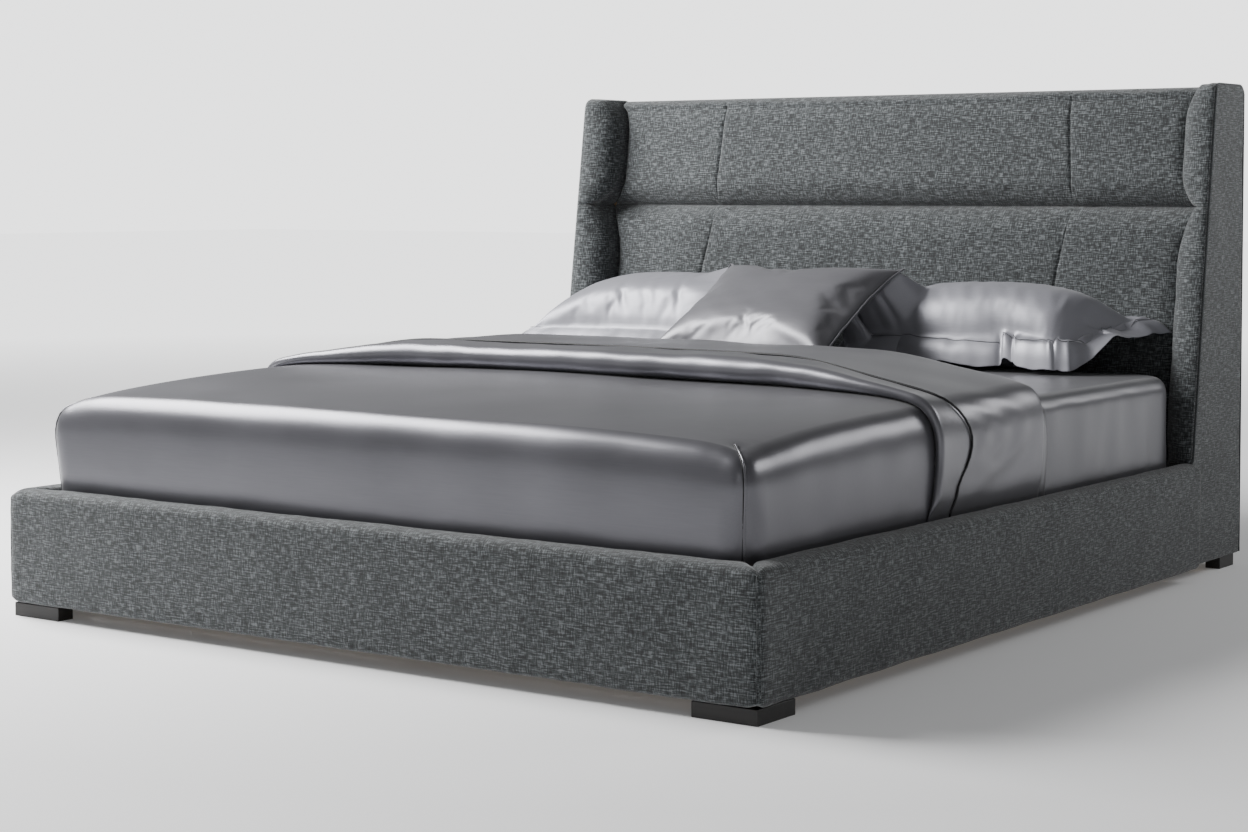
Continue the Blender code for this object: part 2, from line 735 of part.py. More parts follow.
def build_pillows():
    pillow("pillow_left", (-0.553, 0.745, 0.632), 0.72, 0.44, 0.17, 16, "light_satin")
    pillow("pillow_right", (0.545, 0.815, 0.634), 0.72, 0.38, 0.17, 22, "light_satin")
    pillow("throw_pillow", (-0.035, 0.585, 0.672), 0.56, 0.46, 0.13, 29.5, "dark_satin")


clear_scene()
parts = new_collection(COLLECTION)
cutters = new_collection("cutters")
build_side_rails()
build_foot_rail()
build_feet()
build_wing_panels()
build_headboard_frame()
build_cushions()
build_slat_base()
build_corner_fittings()
build_mattress()
build_duvet()
build_pillows()
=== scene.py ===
"""Looks for the upholstered headboard bed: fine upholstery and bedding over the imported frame.

Metres, +Z up. -Y is the foot end, +Y the back of the headboard, +X the side next to the camera.
"""

import math

import bmesh
import bpy
import numpy as np
from mathutils import Matrix, Vector
from mathutils.bvhtree import BVHTree


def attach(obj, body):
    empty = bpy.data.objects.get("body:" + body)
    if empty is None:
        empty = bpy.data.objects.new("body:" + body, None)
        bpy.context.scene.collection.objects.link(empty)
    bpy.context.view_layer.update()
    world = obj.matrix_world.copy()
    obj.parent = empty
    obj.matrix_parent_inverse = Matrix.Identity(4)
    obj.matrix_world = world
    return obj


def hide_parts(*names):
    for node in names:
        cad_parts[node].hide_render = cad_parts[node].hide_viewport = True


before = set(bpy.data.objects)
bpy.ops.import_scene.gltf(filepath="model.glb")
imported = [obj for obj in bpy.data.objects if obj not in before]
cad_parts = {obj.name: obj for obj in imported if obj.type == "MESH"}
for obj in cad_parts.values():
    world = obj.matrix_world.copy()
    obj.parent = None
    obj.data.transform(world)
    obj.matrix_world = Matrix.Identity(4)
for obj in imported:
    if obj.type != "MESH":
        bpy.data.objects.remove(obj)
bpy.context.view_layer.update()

RAIL_X = 1.045
BACK_Y = 1.22
INNER_X = 0.98
INNER_FOOT_Y = -1.155
RAIL_TOP = 0.30
RAIL_BOTTOM = 0.032
WING_X = 1.015
HEAD_TOP = 1.28
WING_LOW_Y = 0.889
SLOPE = 0.1337
BOARD_SETBACK = 0.15
BOARD_TOP = 1.262
SEAM = 0.957
LOWER_BOTTOM = 0.201
CORE = 0.0255
MATTRESS_X = 0.965
MATTRESS_FOOT = -1.143
MATTRESS_HEAD = 0.887
MATTRESS_BOTTOM = 0.2375
SHEET_HEM = 0.26
SHOULDER = 0.026
SHEET_TOP = 0.5225
CLEAR_TOP = 0.5262


def wing_front(z):
    """Y of the wing's front edge at height z."""
    return WING_LOW_Y + SLOPE * np.maximum(z - RAIL_TOP, 0.0)


def board_front(z):
    """Y of the face board's front at height z."""
    return WING_LOW_Y + SLOPE * (z - RAIL_TOP) + BOARD_SETBACK


# ---------------------------------------------------------------- mesh helpers


def link(name, mesh):
    """A new object in the scene for a mesh or curve."""
    item = bpy.data.objects.new(name, mesh)
    bpy.context.scene.collection.objects.link(item)
    return item


def mesh_object(name, verts, faces):
    """A smooth-shaded mesh with its faces pointing out."""
    mesh = bpy.data.meshes.new(name)
    mesh.from_pydata([tuple(v) for v in verts], [], [tuple(f) for f in faces])
    shape = bmesh.new()
    shape.from_mesh(mesh)
    bmesh.ops.recalc_face_normals(shape, faces=shape.faces)
    shape.to_mesh(mesh)
    shape.free()
    mesh.polygons.foreach_set("use_smooth", [True] * len(mesh.polygons))
    return link(name, mesh)


def quads(n, m, start=0, wrap=False):
    """Faces of an n by m grid of vertices, its rows closed on themselves if wrap."""
    made = []
    for i in range(n - 1):
        for j in range(m if wrap else m - 1):
            k = (j + 1) % m
            here, above = start + i * m, start + (i + 1) * m
            made.append((here + j, here + k, above + k, above + j))
    return made


def border_of(n, m):
    """The outline of an n by m grid, as a ring of its indices."""
    ring = list(range(m)) + [i * m + m - 1 for i in range(1, n)]
    return ring + [(n - 1) * m + j for j in range(m - 2, -1, -1)] + [i * m for i in range(n - 2, 0, -1)]


def loft(name, rings):
    """Closed rings of points joined one to the next, with both ends filled."""
    rings = np.asarray(rings, float)
    n, m = rings.shape[:2]
    faces = quads(n, m, wrap=True)
    faces.append(tuple(range(m)))
    faces.append(tuple(reversed(range((n - 1) * m, n * m))))
    return mesh_object(name, rings.reshape(-1, 3), faces)


def vectors(mesh, key):
    """A vector of each vertex of a mesh: its place (co) or its normal."""
    data = np.empty(len(mesh.vertices) * 3)
    mesh.vertices.foreach_get(key, data)
    return data.reshape(-1, 3)


def coords(obj):
    return vectors(obj.data, "co")


def normals(obj):
    return vectors(obj.data, "normal")


def set_coords(obj, points):
    obj.data.vertices.foreach_set("co", np.ascontiguousarray(points, float).ravel())
    obj.data.update()


def ripple(points, wavelength, seed, stretch=(1, 1, 1), waves=5):
    """Smooth seeded noise of about unit size, from a few sine waves in random directions."""
    chance = np.random.RandomState(seed)
    total = np.zeros(len(points))
    for _ in range(waves):
        way = chance.normal(size=3)
        way /= np.linalg.norm(way)
        way *= np.array(stretch) * (2 * math.pi / wavelength) * chance.uniform(0.7, 1.4)
        total += np.sin(points @ way + chance.uniform(0, 2 * math.pi))
    return total / math.sqrt(waves)


def smooth(x, a, b):
    """0 below a, 1 above b and a smooth step between."""
    t = np.clip((x - a) / (b - a), 0.0, 1.0)
    return t * t * (3 - 2 * t)


def push(obj, amount):
    """Moves each vertex along its normal."""
    set_coords(obj, coords(obj) + normals(obj) * np.asarray(amount)[:, None])


def subdivide(obj, levels=1):
    modifier = obj.modifiers.new("Subdivision", "SUBSURF")
    modifier.levels = levels
    modifier.render_levels = levels


def box_uv(obj):
    """A UV map in metres, laid on each face along its main axis."""
    mesh = obj.data
    layer = mesh.uv_layers.new(name="UVMap")
    points = coords(obj)
    loops = np.empty(len(mesh.loops), int)
    mesh.loops.foreach_get("vertex_index", loops)
    facing = np.empty(len(mesh.polygons) * 3)
    mesh.polygons.foreach_get("normal", facing)
    counts = np.empty(len(mesh.polygons), int)
    mesh.polygons.foreach_get("loop_total", counts)
    axis = np.repeat(np.abs(facing.reshape(-1, 3)).argmax(axis=1), counts)
    p = points[loops]
    u = np.where(axis == 0, p[:, 1], p[:, 0])
    v = np.where(axis == 2, p[:, 1], p[:, 2])
    layer.data.foreach_set("uv", np.stack([u, v], axis=1).ravel())
    return obj


def inflate(obj, pressure, cap, pins=None, frames=20, grow=0.0, stiff=15.0, bend=0.3):
    """Blows a cover up with cloth simulation and keeps the result. No point moves more than cap."""
    start = coords(obj)
    modifier = obj.modifiers.new("Cloth", "CLOTH")
    settings = modifier.settings
    settings.quality = 5
    settings.mass = 0.3
    settings.tension_stiffness = stiff
    settings.compression_stiffness = stiff
    settings.shear_stiffness = stiff / 3
    settings.bending_stiffness = bend
    settings.use_pressure = True
    settings.uniform_pressure_force = pressure
    settings.shrink_min = -grow
    settings.effector_weights.gravity = 0
    modifier.collision_settings.use_collision = False
    modifier.point_cache.frame_start = 1
    modifier.point_cache.frame_end = frames
    if pins is not None:
        group = obj.vertex_groups.new(name="pin")
        group.add([int(i) for i in np.flatnonzero(pins)], 1.0, "REPLACE")
        settings.vertex_group_mass = "pin"
    scene = bpy.context.scene
    for step in range(1, frames + 1):
        scene.frame_set(step)
    shown = obj.evaluated_get(bpy.context.evaluated_depsgraph_get())
    made = shown.to_mesh()
    end = vectors(made, "co")
    shown.to_mesh_clear()
    obj.modifiers.remove(modifier)
    scene.frame_set(1)
    move = end - start
    far = np.linalg.norm(move, axis=1, keepdims=True) + 1e-9
    set_coords(obj, start + move / far * cap * np.tanh(far / cap))


def sweep(start, stop, count):
    """Angles from start to stop degrees, in radians."""
    return np.radians(np.linspace(start, stop, count))


def tree_of(obj):
    bpy.context.view_layer.update()
    return BVHTree.FromObject(obj, bpy.context.evaluated_depsgraph_get())


def keep_out(obj, trees, gap=0.002, reach=0.09):
    """Moves the points of obj that lie inside other pieces, or closer than gap, out to gap."""
    points = coords(obj)
    for tree in trees:
        for i, point in enumerate(points):
            spot, facing, _, _ = tree.find_nearest(Vector(point), reach)
            if spot is not None and (Vector(point) - spot).dot(facing) < gap:
                points[i] = spot + facing * gap
    set_coords(obj, points)


def tube(name, path, radius, cyclic=False, sides=3):
    """A round welt or piping along a path of points."""
    curve = bpy.data.curves.new(name, "CURVE")
    curve.dimensions = "3D"
    curve.bevel_depth = radius
    curve.bevel_resolution = sides
    curve.use_fill_caps = True
    line = curve.splines.new("POLY")
    line.points.add(len(path) - 1)
    for point, place in zip(line.points, path):
        point.co = (*place, 1)
    line.use_cyclic_u = cyclic
    line.use_smooth = True
    return link(name, curve)


def finish_piece(obj, body, finish, nodes=()):
    """Gives a piece its material, slot and body, and hides the CAD nodes it stands for."""
    obj.data.materials.clear()
    obj.data.materials.append(finish)
    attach(obj, body)
    if nodes:
        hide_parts(*nodes)


def tweed_welt(name, path, radius, cyclic=False):
    """A welt of the frame's cloth."""
    finish_piece(tube(name, path, radius, cyclic), "bed_frame", TWEED_WELT)


def padded_piece(obj, body, finish, nodes):
    """Finishes a stuffed piece: its UV map, material, CAD nodes and smoothing."""
    finish_piece(box_uv(obj), body, finish, nodes)
    subdivide(obj)


# ---------------------------------------------------------------- materials


class Finish:
    """A Principled material with a short way to add and link nodes."""

    def __init__(self, name, colour, roughness, **sockets):
        self.material = bpy.data.materials.new(name)
        self.material.use_nodes = True
        self.tree = self.material.node_tree
        self.shader = self.tree.nodes["Principled BSDF"]
        self.shader.inputs["Base Color"].default_value = (*colour, 1)
        self.shader.inputs["Roughness"].default_value = roughness
        for key, value in sockets.items():
            self.shader.inputs[key.replace("_", " ")].default_value = value

    def node(self, kind, **settings):
        made = self.tree.nodes.new(kind)
        for key, value in settings.items():
            setattr(made, key, value)
        return made

    def join(self, a, b):
        self.tree.links.new(a, b)
        return b

    def place(self, source, scale):
        """Texture coordinates from source, scaled."""
        start = self.node("ShaderNodeTexCoord")
        mapping = self.node("ShaderNodeMapping")
        mapping.inputs["Scale"].default_value = scale
        self.join(start.outputs[source], mapping.inputs["Vector"])
        return mapping.outputs["Vector"]

    def noise(self, vector, detail=3.0, rough=0.55, scale=1.0, distortion=0.0):
        made = self.node("ShaderNodeTexNoise")
        made.inputs["Scale"].default_value = scale
        made.inputs["Detail"].default_value = detail
        made.inputs["Roughness"].default_value = rough
        made.inputs["Distortion"].default_value = distortion
        self.join(vector, made.inputs["Vector"])
        return made.outputs["Fac"]

    def maths(self, operation, a, b=None):
        made = self.node("ShaderNodeMath", operation=operation)
        for socket, value in zip(made.inputs, (a, b)):
            if isinstance(value, (int, float)):
                socket.default_value = value
            elif value is not None:
                self.join(value, socket)
        return made.outputs[0]

    def ramp(self, value, *stops):
        made = self.node("ShaderNodeValToRGB")
        band = made.color_ramp
        while len(band.elements) < len(stops):
            band.elements.new(0.5)
        for element, (place, colour) in zip(band.elements, stops):
            element.position = place
            element.color = (*colour, 1)
        self.join(value, made.inputs["Fac"])
        return made.outputs["Color"]

    def colour(self, socket):
        self.join(socket, self.shader.inputs["Base Color"])

    def rough(self, value, low, high):
        made = self.node("ShaderNodeMapRange")
        made.inputs["To Min"].default_value = low
        made.inputs["To Max"].default_value = high
        self.join(value, made.inputs["Value"])
        self.join(made.outputs[0], self.shader.inputs["Roughness"])

    def bump(self, height, distance, strength=1.0, under=None):
        made = self.node("ShaderNodeBump")
        made.inputs["Distance"].default_value = distance
        made.inputs["Strength"].default_value = strength
        self.join(height, made.inputs["Height"])
        if under is not None:
            self.join(under, made.inputs["Normal"])
        self.join(made.outputs["Normal"], self.shader.inputs["Normal"])
        return made.outputs["Normal"]


def tweed(name, dark, middle, light):
    """Heathered cloth with slubs along both threads and a basket weave."""
    made = Finish(name, middle, 0.92, Sheen_Weight=0.25, Sheen_Roughness=0.5)
    weft = made.noise(made.place("UV", (42, 330, 1)), 2.0, 0.55)
    warp = made.noise(made.place("UV", (330, 58, 1)), 2.0, 0.55)
    fleck = made.noise(made.place("UV", (640, 640, 1)), 1.0, 0.5)
    slubs = made.maths("ADD", made.maths("MULTIPLY", weft, 0.50), made.maths("MULTIPLY", warp, 0.40))
    slubs = made.maths("ADD", slubs, made.maths("MULTIPLY", fleck, 0.10))
    patches = made.noise(made.place("UV", (9, 9, 1)), 3.0)
    tone = made.maths("ADD", slubs, made.maths("MULTIPLY", made.maths("SUBTRACT", patches, 0.5), 0.06))
    made.colour(made.ramp(tone, (0.39, dark), (0.50, middle), (0.61, light)))
    across = made.node("ShaderNodeTexWave", bands_direction="X")
    along = made.node("ShaderNodeTexWave", bands_direction="Y")
    threads = made.place("UV", (430, 430, 1))
    for wave in (across, along):
        wave.inputs["Scale"].default_value = 0.35
        wave.inputs["Distortion"].default_value = 1.2
        made.join(threads, wave.inputs["Vector"])
    weave = made.maths("MULTIPLY", across.outputs["Fac"], along.outputs["Fac"])
    under = made.bump(weave, 0.0004, 0.7)
    made.bump(slubs, 0.0012, 0.8, under)
    return made.material


def satin(name, colour, roughness=0.34, metallic=0.35):
    """Sateen: a soft directional gloss, faint thread streaks and fine crumple."""
    made = Finish(name, colour, roughness, Metallic=metallic, Sheen_Weight=0.15, Sheen_Roughness=0.35)
    streaks = made.noise(made.place("Object", (14, 420, 420)), 2.0)
    cloud = made.noise(made.place("Object", (3.5, 3.5, 3.5)), 3.0)
    tone = made.maths("ADD", made.maths("MULTIPLY", streaks, 0.35), made.maths("MULTIPLY", cloud, 0.65))
    shade = tuple(c * 0.90 for c in colour)
    tint = tuple(min(c * 1.10, 1.0) for c in colour)
    made.colour(made.ramp(tone, (0.30, shade), (0.70, tint)))
    made.rough(cloud, roughness - 0.05, roughness + 0.07)
    crumple = made.noise(made.place("Object", (26, 26, 26)), 4.0, 0.5)
    under = made.bump(streaks, 0.0001, 0.5)
    made.bump(crumple, 0.0008, 0.30, under)
    return made.material


def wood(name, dark, light, roughness, scale, grain="X"):
    """Grain drawn out along one axis."""
    made = Finish(name, light, roughness)
    along = [scale * 0.06 if axis == grain else scale for axis in "XYZ"]
    rings = made.noise(made.place("Object", along), 5.0, 0.62, 1.0, 0.8)
    pores = made.noise(made.place("Object", [s * 9 for s in along]), 2.0)
    tone = made.maths("ADD", made.maths("MULTIPLY", rings, 0.75), made.maths("MULTIPLY", pores, 0.25))
    made.colour(made.ramp(tone, (0.34, dark), (0.66, light)))
    made.rough(pores, roughness - 0.06, roughness + 0.08)
    made.bump(tone, 0.0006, 0.5)
    return made.material


def metal(name, colour, roughness):
    made = Finish(name, colour, roughness, Metallic=1.0)
    brushed = made.noise(made.place("Object", (30, 30, 600)), 3.0)
    made.colour(made.ramp(brushed, (0.3, tuple(c * 0.8 for c in colour)), (0.7, colour)))
    made.rough(brushed, roughness - 0.08, roughness + 0.1)
    made.bump(brushed, 0.0001, 0.4)
    return made.material


def plastic(name, colour, roughness):
    made = Finish(name, colour, roughness)
    grain = made.noise(made.place("Object", (700, 700, 700)), 2.0)
    made.rough(grain, roughness - 0.05, roughness + 0.1)
    made.bump(grain, 0.0001, 0.5)
    return made.material


def ticking(name):
    """Mattress ticking with a fine stripe."""
    made = Finish(name, (0.62, 0.62, 0.60), 0.85)
    stripe = made.node("ShaderNodeTexWave", bands_direction="X")
    stripe.inputs["Scale"].default_value = 12.0
    made.join(made.place("Object", (1, 1, 1)), stripe.inputs["Vector"])
    weave = made.noise(made.place("Object", (500, 500, 500)), 2.0)
    made.colour(made.ramp(stripe.outputs["Fac"], (0.2, (0.55, 0.55, 0.54)), (0.8, (0.68, 0.68, 0.66))))
    made.bump(weave, 0.0003, 0.6)
    return made.material


TWEED = tweed("tweed", (0.005, 0.0058, 0.0062), (0.030, 0.0342, 0.0360), (0.145, 0.158, 0.164))
TWEED_WELT = tweed("tweed_welt", (0.010, 0.011, 0.012), (0.045, 0.050, 0.053), (0.15, 0.16, 0.165))
WENGE = wood("wenge", (0.003, 0.0028, 0.0025), (0.012, 0.010, 0.009), 0.45, 60, "X")
PINE, PINE_LONG, PINE_TALL = (
    wood(name, (0.45, 0.29, 0.14), (0.66, 0.49, 0.29), 0.55, 34, grain)
    for name, grain in (("pine", "X"), ("pine_long", "Y"), ("pine_tall", "Z"))
)
PLYWOOD, PLYWOOD_ACROSS = (
    wood(name, (0.36, 0.23, 0.12), (0.56, 0.40, 0.23), 0.6, 26, grain)
    for name, grain in (("plywood", "Y"), ("plywood_across", "X"))
)
STEEL = metal("steel", (0.42, 0.43, 0.44), 0.38)
GLIDE = plastic("glide_plastic", (0.025, 0.025, 0.026), 0.45)
TICKING = ticking("ticking")
DUVET = satin("duvet_satin", (0.122, 0.121, 0.135), 0.31, 0.55)
SHEET = satin("sheet_satin", (0.115, 0.115, 0.128), 0.34, 0.42)
# a lighter copy of the duvet satin: the turned-back band's extra brightness is painted light, the cloth being the
# same
TURNBACK_LIGHTENED = satin("turnback_satin", (0.140, 0.139, 0.154), 0.32, 0.52)
PILLOW = satin("pillow_satin", (0.27, 0.27, 0.30), 0.44, 0.30)
# the seam thread, darker than the pillow satin: its colour is partly the thread and partly painted shade of the
# seam's groove
STITCH_AND_GROOVE_SHADE = plastic("stitching", (0.10, 0.10, 0.11), 0.6)
THROW = satin("throw_satin", (0.150, 0.149, 0.162), 0.40, 0.40)
PIPING = plastic("piping_cord", (0.006, 0.006, 0.007), 0.6)

NODE_FINISHES = {
    "front_foot": WENGE,
    "rear_foot": WENGE,
    "side_rail_core": PLYWOOD,
    "foot_rail_core": PLYWOOD_ACROSS,
    "headboard_face_board": PLYWOOD,
    "head_cross_rail": PLYWOOD,
    "headboard_stile": PINE_TALL,
    "headboard_top_rail": PINE,
    "centre_leg": PINE_TALL,
    "centre_beam": PINE_LONG,
    "slat_ledger": PINE_LONG,
    "slat_": PINE,
    "beam_hanger": STEEL,
    "corner_bracket": STEEL,
    "corner_bolt": STEEL,
    "joining_": STEEL,
    "levelling_glide": GLIDE,
}
for name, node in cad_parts.items():
    for start, finish in NODE_FINISHES.items():
        if name.startswith(start):
            node.data.materials.clear()
            node.data.materials.append(finish)
            break


# ---------------------------------------------------------------- rails


RAIL_STEP = 0.022
MITRE_GAP = 0.0006
CORNER_SINK = 0.0090
CORNER_REACH = 0.026
WING_SINK = 0.007
WING_REACH = 0.018
WELT_DEPTH = 0.0078


def arc(cx, cz, r, start, end, steps):
    """Points of an arc about (cx, cz), with its angles in degrees."""
    angles = sweep(start, end, steps + 1)
    return [(cx + r * math.cos(a), cz + r * math.sin(a)) for a in angles]


def rail_section():
    """Ring of (outward, height, freedom) points round a rail cover. Freedom is 0 on the core side."""
    thick = RAIL_X - INNER_X
    top_r, in_r, low_r = 0.024, 0.016, 0.014
    ring = [(CORE, 0.0465, 0), (CORE, 0.12, 0), (CORE, 0.20, 0), (CORE, 0.2755, 0), (0.0, 0.2755, 0)]
    ring += [(d, z, 1) for d, z in arc(in_r, RAIL_TOP - in_r, in_r, 180, 90, 5)]
    ring += [(d, RAIL_TOP + 0.0012, 1) for d in np.linspace(in_r, thick - top_r, 5)[1:-1]]
    ring += [(d, z, 1) for d, z in arc(thick - top_r, RAIL_TOP - top_r, top_r, 90, 0, 7)]
    ring += [(thick, z, 1) for z in np.linspace(RAIL_TOP - top_r, RAIL_BOTTOM + low_r, 19)[1:-1]]
    ring += [(d, z, 1) for d, z in arc(thick - low_r, RAIL_BOTTOM + low_r, low_r, 0, -90, 4)]
    ring += [(0.03, RAIL_BOTTOM, 1), (0.012, RAIL_BOTTOM, 1), (0.0, 0.036, 1), (0.0, 0.0465, 0)]
    return np.array(ring)


def along_stations(length, coarse, ends):
    """Places from 0 to length, close together near the ends that are named."""
    near = np.array([0, 0.0015, 0.004, 0.007, 0.011, 0.016, 0.022, 0.030, 0.042])
    start = near if "a" in ends else np.array([0.0])
    stop = length - near[::-1] if "b" in ends else np.array([length])
    count = int((stop[0] - start[-1]) / coarse)
    middle = np.linspace(start[-1], stop[0], count + 1)[1:-1]
    return np.concatenate([start, middle, stop])


def section_normals(ring):
    """Outward directions of a closed ring of 2D points listed clockwise."""
    ahead = np.roll(ring, -1, axis=0) - np.roll(ring, 1, axis=0)
    turned = np.stack([-ahead[:, 1], ahead[:, 0]], axis=1)
    return turned / (np.linalg.norm(turned, axis=1, keepdims=True) + 1e-9)


def pull_in(distance, depth, length):
    """How far a padded face sinks towards a seam that is distance away."""
    return depth * np.clip(1 - distance / length, 0, 1) ** 2.2


def rail_cover(name, seed, path):
    """A rail cover. path(d, t) gives the station's point for outward distance d, and lengths to each seam."""
    ring = rail_section()
    out = section_normals(ring[:, :2])
    free = ring[:, 2]
    rings = []
    for t in path["stations"]:
        place = path["point"](ring[:, 0], t)
        sink = sum(pull_in(far, depth, length) for far, depth, length in path["seams"](ring[:, 0], t))
        swell = 0.0010 * np.sin(np.clip((ring[:, 1] - 0.05) / 0.23, 0, 1) * math.pi)
        flat = np.stack([place[0], place[1], ring[:, 1]], axis=1)
        soft = 0.0007 * ripple(flat, 0.16, seed) + 0.00035 * ripple(flat, 0.045, seed + 1)
        pucker = 0.0006 * ripple(flat, 0.022, seed + 2) * np.clip(sink / 0.004, 0, 1)
        offset = (swell + soft + pucker - sink) * free
        outward = ring[:, 0] + out[:, 0] * offset
        height = ring[:, 1] + out[:, 1] * offset
        spot = path["point"](outward, t, ring[:, 0])
        rings.append(np.stack([spot[0], spot[1], height], axis=1))
    return loft(name, rings)


def foot_path():
    stations = along_stations(2 * RAIL_X, RAIL_STEP, "ab") / RAIL_X - 1

    def point(d, t, d0=None):
        d0 = d if d0 is None else d0
        x = t * (INNER_X + d0 - MITRE_GAP)
        return x, INNER_FOOT_Y - d

    def seams(d, t):
        far = (INNER_X + d) * (1 - abs(t))
        return [(far, CORNER_SINK, CORNER_REACH)]

    return {"stations": stations, "point": point, "seams": seams}


def side_path(sign):
    end = WING_LOW_Y - MITRE_GAP

    def point(d, t, d0=None):
        d0 = d if d0 is None else d0
        start = INNER_FOOT_Y - d0 + MITRE_GAP
        return sign * (INNER_X + d), start + (end - start) * t

    def seams(d, t):
        span = end - (INNER_FOOT_Y - d)
        return [(span * t, CORNER_SINK, CORNER_REACH), (span * (1 - t), WING_SINK, WING_REACH)]

    length = end - INNER_FOOT_Y
    stations = along_stations(length, RAIL_STEP, "ab") / length
    return {"stations": stations, "point": point, "seams": seams}


def build_rails():
    """The three rail covers, with a welt down each foot corner."""
    cover = rail_cover("foot_rail_upholstery", 11, foot_path())
    padded_piece(cover, "bed_frame", TWEED, ["foot_rail_cover"])
    for label, sign in (("left", -1), ("right", 1)):
        cover = rail_cover(f"side_rail_upholstery_{label}", 21 + sign, side_path(sign))
        padded_piece(cover, "bed_frame", TWEED, [f"side_rail_cover_{label}"])
        ring = rail_section()
        out = section_normals(ring[:, :2])
        path = []
        for (d, z, free), (od, oz) in zip(ring, out):
            if free and z > RAIL_BOTTOM + 0.002:
                d2, z2 = d - od * WELT_DEPTH, z - oz * WELT_DEPTH
                path.append((sign * (INNER_X + d2), INNER_FOOT_Y - d2, z2))
        tweed_welt(f"corner_welt_{label}", path, 0.0022)


# ---------------------------------------------------------------- headboard


def tier_thickness(z, low, high):
    """How thick the wing's pad is at height z of its tier: thin at the seams and full between."""
    t = np.clip((z - low) / (high - low), 0, 1)
    if high > 1.0:
        full = (1 - (1 - np.minimum(t / 0.30, 1)) ** 2.4) * (1 - 0.62 * (np.maximum(t - 0.72, 0) / 0.28) ** 2.2)
    else:
        full = 1 - (1 - np.minimum((1 - t) / 0.24, 1)) ** 2.4
        full = full * (1 - 0.3 * np.maximum(0.25 - t, 0) / 0.25)
    return 0.011 + 0.047 * full


def tier_steps(low, high, spacing):
    """Heights up a tier, close together at both seams."""
    near = np.array([0, 0.0015, 0.004, 0.008, 0.013, 0.019])
    count = int((high - low - 2 * near[-1]) / spacing)
    middle = np.linspace(low + near[-1], high - near[-1], count + 1)[1:-1]
    return np.concatenate([low + near, middle, high - near[::-1]])


TIERS = {"lower": (LOWER_BOTTOM, SEAM), "upper": (SEAM, BOARD_TOP)}


def crown(z, low, high):
    """0 at a tier's seams, 1 in the middle, rounded over 80 mm."""
    near = np.clip(np.minimum(z - low, high - z) / 0.080, 0, 1)
    return (1 - (1 - near) ** 2.2) ** (1 / 1.8)


def build_wings():
    """The wings' outer covers, each with its welt and its two pads."""
    for label, sign in (("left", -1), ("right", 1)):
        rings = []
        bottom = RAIL_BOTTOM + np.array([0, 0.0015, 0.004, 0.009])
        top = HEAD_TOP - np.array([0.034, 0.026, 0.019, 0.013, 0.008, 0.004, 0.0015, 0.0])
        zs = np.concatenate([bottom, np.linspace(0.06, 0.28, 9), [0.295, 0.305], np.linspace(0.33, 1.235, 36), top])
        for z in zs:
            low_round = max(0.009 - (z - RAIL_BOTTOM), 0.0)
            top_round = max(z - (HEAD_TOP - 0.014), 0.0)
            inset = 0.009 - math.sqrt(max(0.009**2 - low_round**2, 0))
            inset += 0.014 - math.sqrt(max(0.014**2 - top_round**2, 0))
            turn = max(z - (HEAD_TOP - SHOULDER), 0.0)
            back_turn = SHOULDER - math.sqrt(max(SHOULDER**2 - turn**2, 0))
            front = wing_front(z) + back_turn * 0.9 + (0.0085 if z > RAIL_TOP + 0.008 else 0.0004)
            back = BACK_Y - back_turn * 0.5
            x_in, x_out = INNER_X + 0.0004 + inset * 0.8, WING_X - inset * 0.8
            r = 0.012
            ring = [(x_in, back), ((x_in + x_out) / 2, back), (x_out - 0.004, back)]
            ring += [(x_out - 0.001, back - 0.001), (x_out, back - 0.004)]
            ring += [(x_out, y) for y in np.linspace(back - 0.02, front + r + 0.006, 9)]
            quarter = sweep(0, 90, 6)
            ring += [(x_out - r + r * math.cos(a), front + r - r * math.sin(a)) for a in quarter]
            ring += [(x, front - 0.0012) for x in np.linspace(x_out - r, x_in + r, 4)[1:-1]]
            ring += [(x_in + r - r * math.sin(a), front + r - r * math.cos(a)) for a in quarter]
            ring += [(x_in, y) for y in np.linspace(front + r + 0.01, back - 0.01, 6)]
            flat = np.array([(sign * x, y, z) for x, y in ring])
            middle = (x_in + x_out) / 2
            soft = 0.0008 * ripple(flat, 0.19, 31 + sign) + 0.0003 * ripple(flat, 0.05, 33 + sign)
            flat[:, 0] += sign * soft * np.array([1.0 if x > middle else 0.0 for x, y in ring])
            flat[:, 1] -= soft * np.array([1.0 if y < front + 0.006 else 0.0 for x, y in ring]) * 0.8
            rings.append(flat)
        cover = loft(f"wing_upholstery_{label}", rings)
        padded_piece(cover, "bed_frame", TWEED, [f"wing_panel_{label}"])
        line = []
        for z in np.linspace(RAIL_TOP + 0.004, HEAD_TOP - SHOULDER, 60):
            line.append((sign * (WING_X - 0.0004), wing_front(z) + 0.0115, z))
        for a in sweep(8, 90, 9):
            y = wing_front(HEAD_TOP) + 0.0115 + SHOULDER * (1 - math.cos(a))
            x = WING_X - 0.0015 - 0.003 * math.sin(a)
            line.append((sign * x, y, HEAD_TOP - SHOULDER + 0.0235 * math.sin(a)))
        for y in np.linspace(wing_front(HEAD_TOP) + 0.06, BACK_Y - 0.022, 8):
            line.append((sign * (WING_X - 0.0045), y, HEAD_TOP - 0.0025))
        for a in sweep(15, 90, 6):
            x = WING_X - 0.0045 + 0.0035 * (1 - math.cos(a))
            line.append((sign * x, BACK_Y - 0.02 + 0.0185 * math.sin(a), HEAD_TOP - 0.0255 + 0.023 * math.cos(a)))
        for z in np.linspace(HEAD_TOP - 0.05, RAIL_BOTTOM + 0.004, 40):
            line.append((sign * (WING_X - 0.001), BACK_Y - 0.0014, z))
        tweed_welt(f"wing_welt_{label}", line, 0.0028)
        for tier, (low, high) in TIERS.items():
            build_wing_pad(tier, label, sign, low, high)


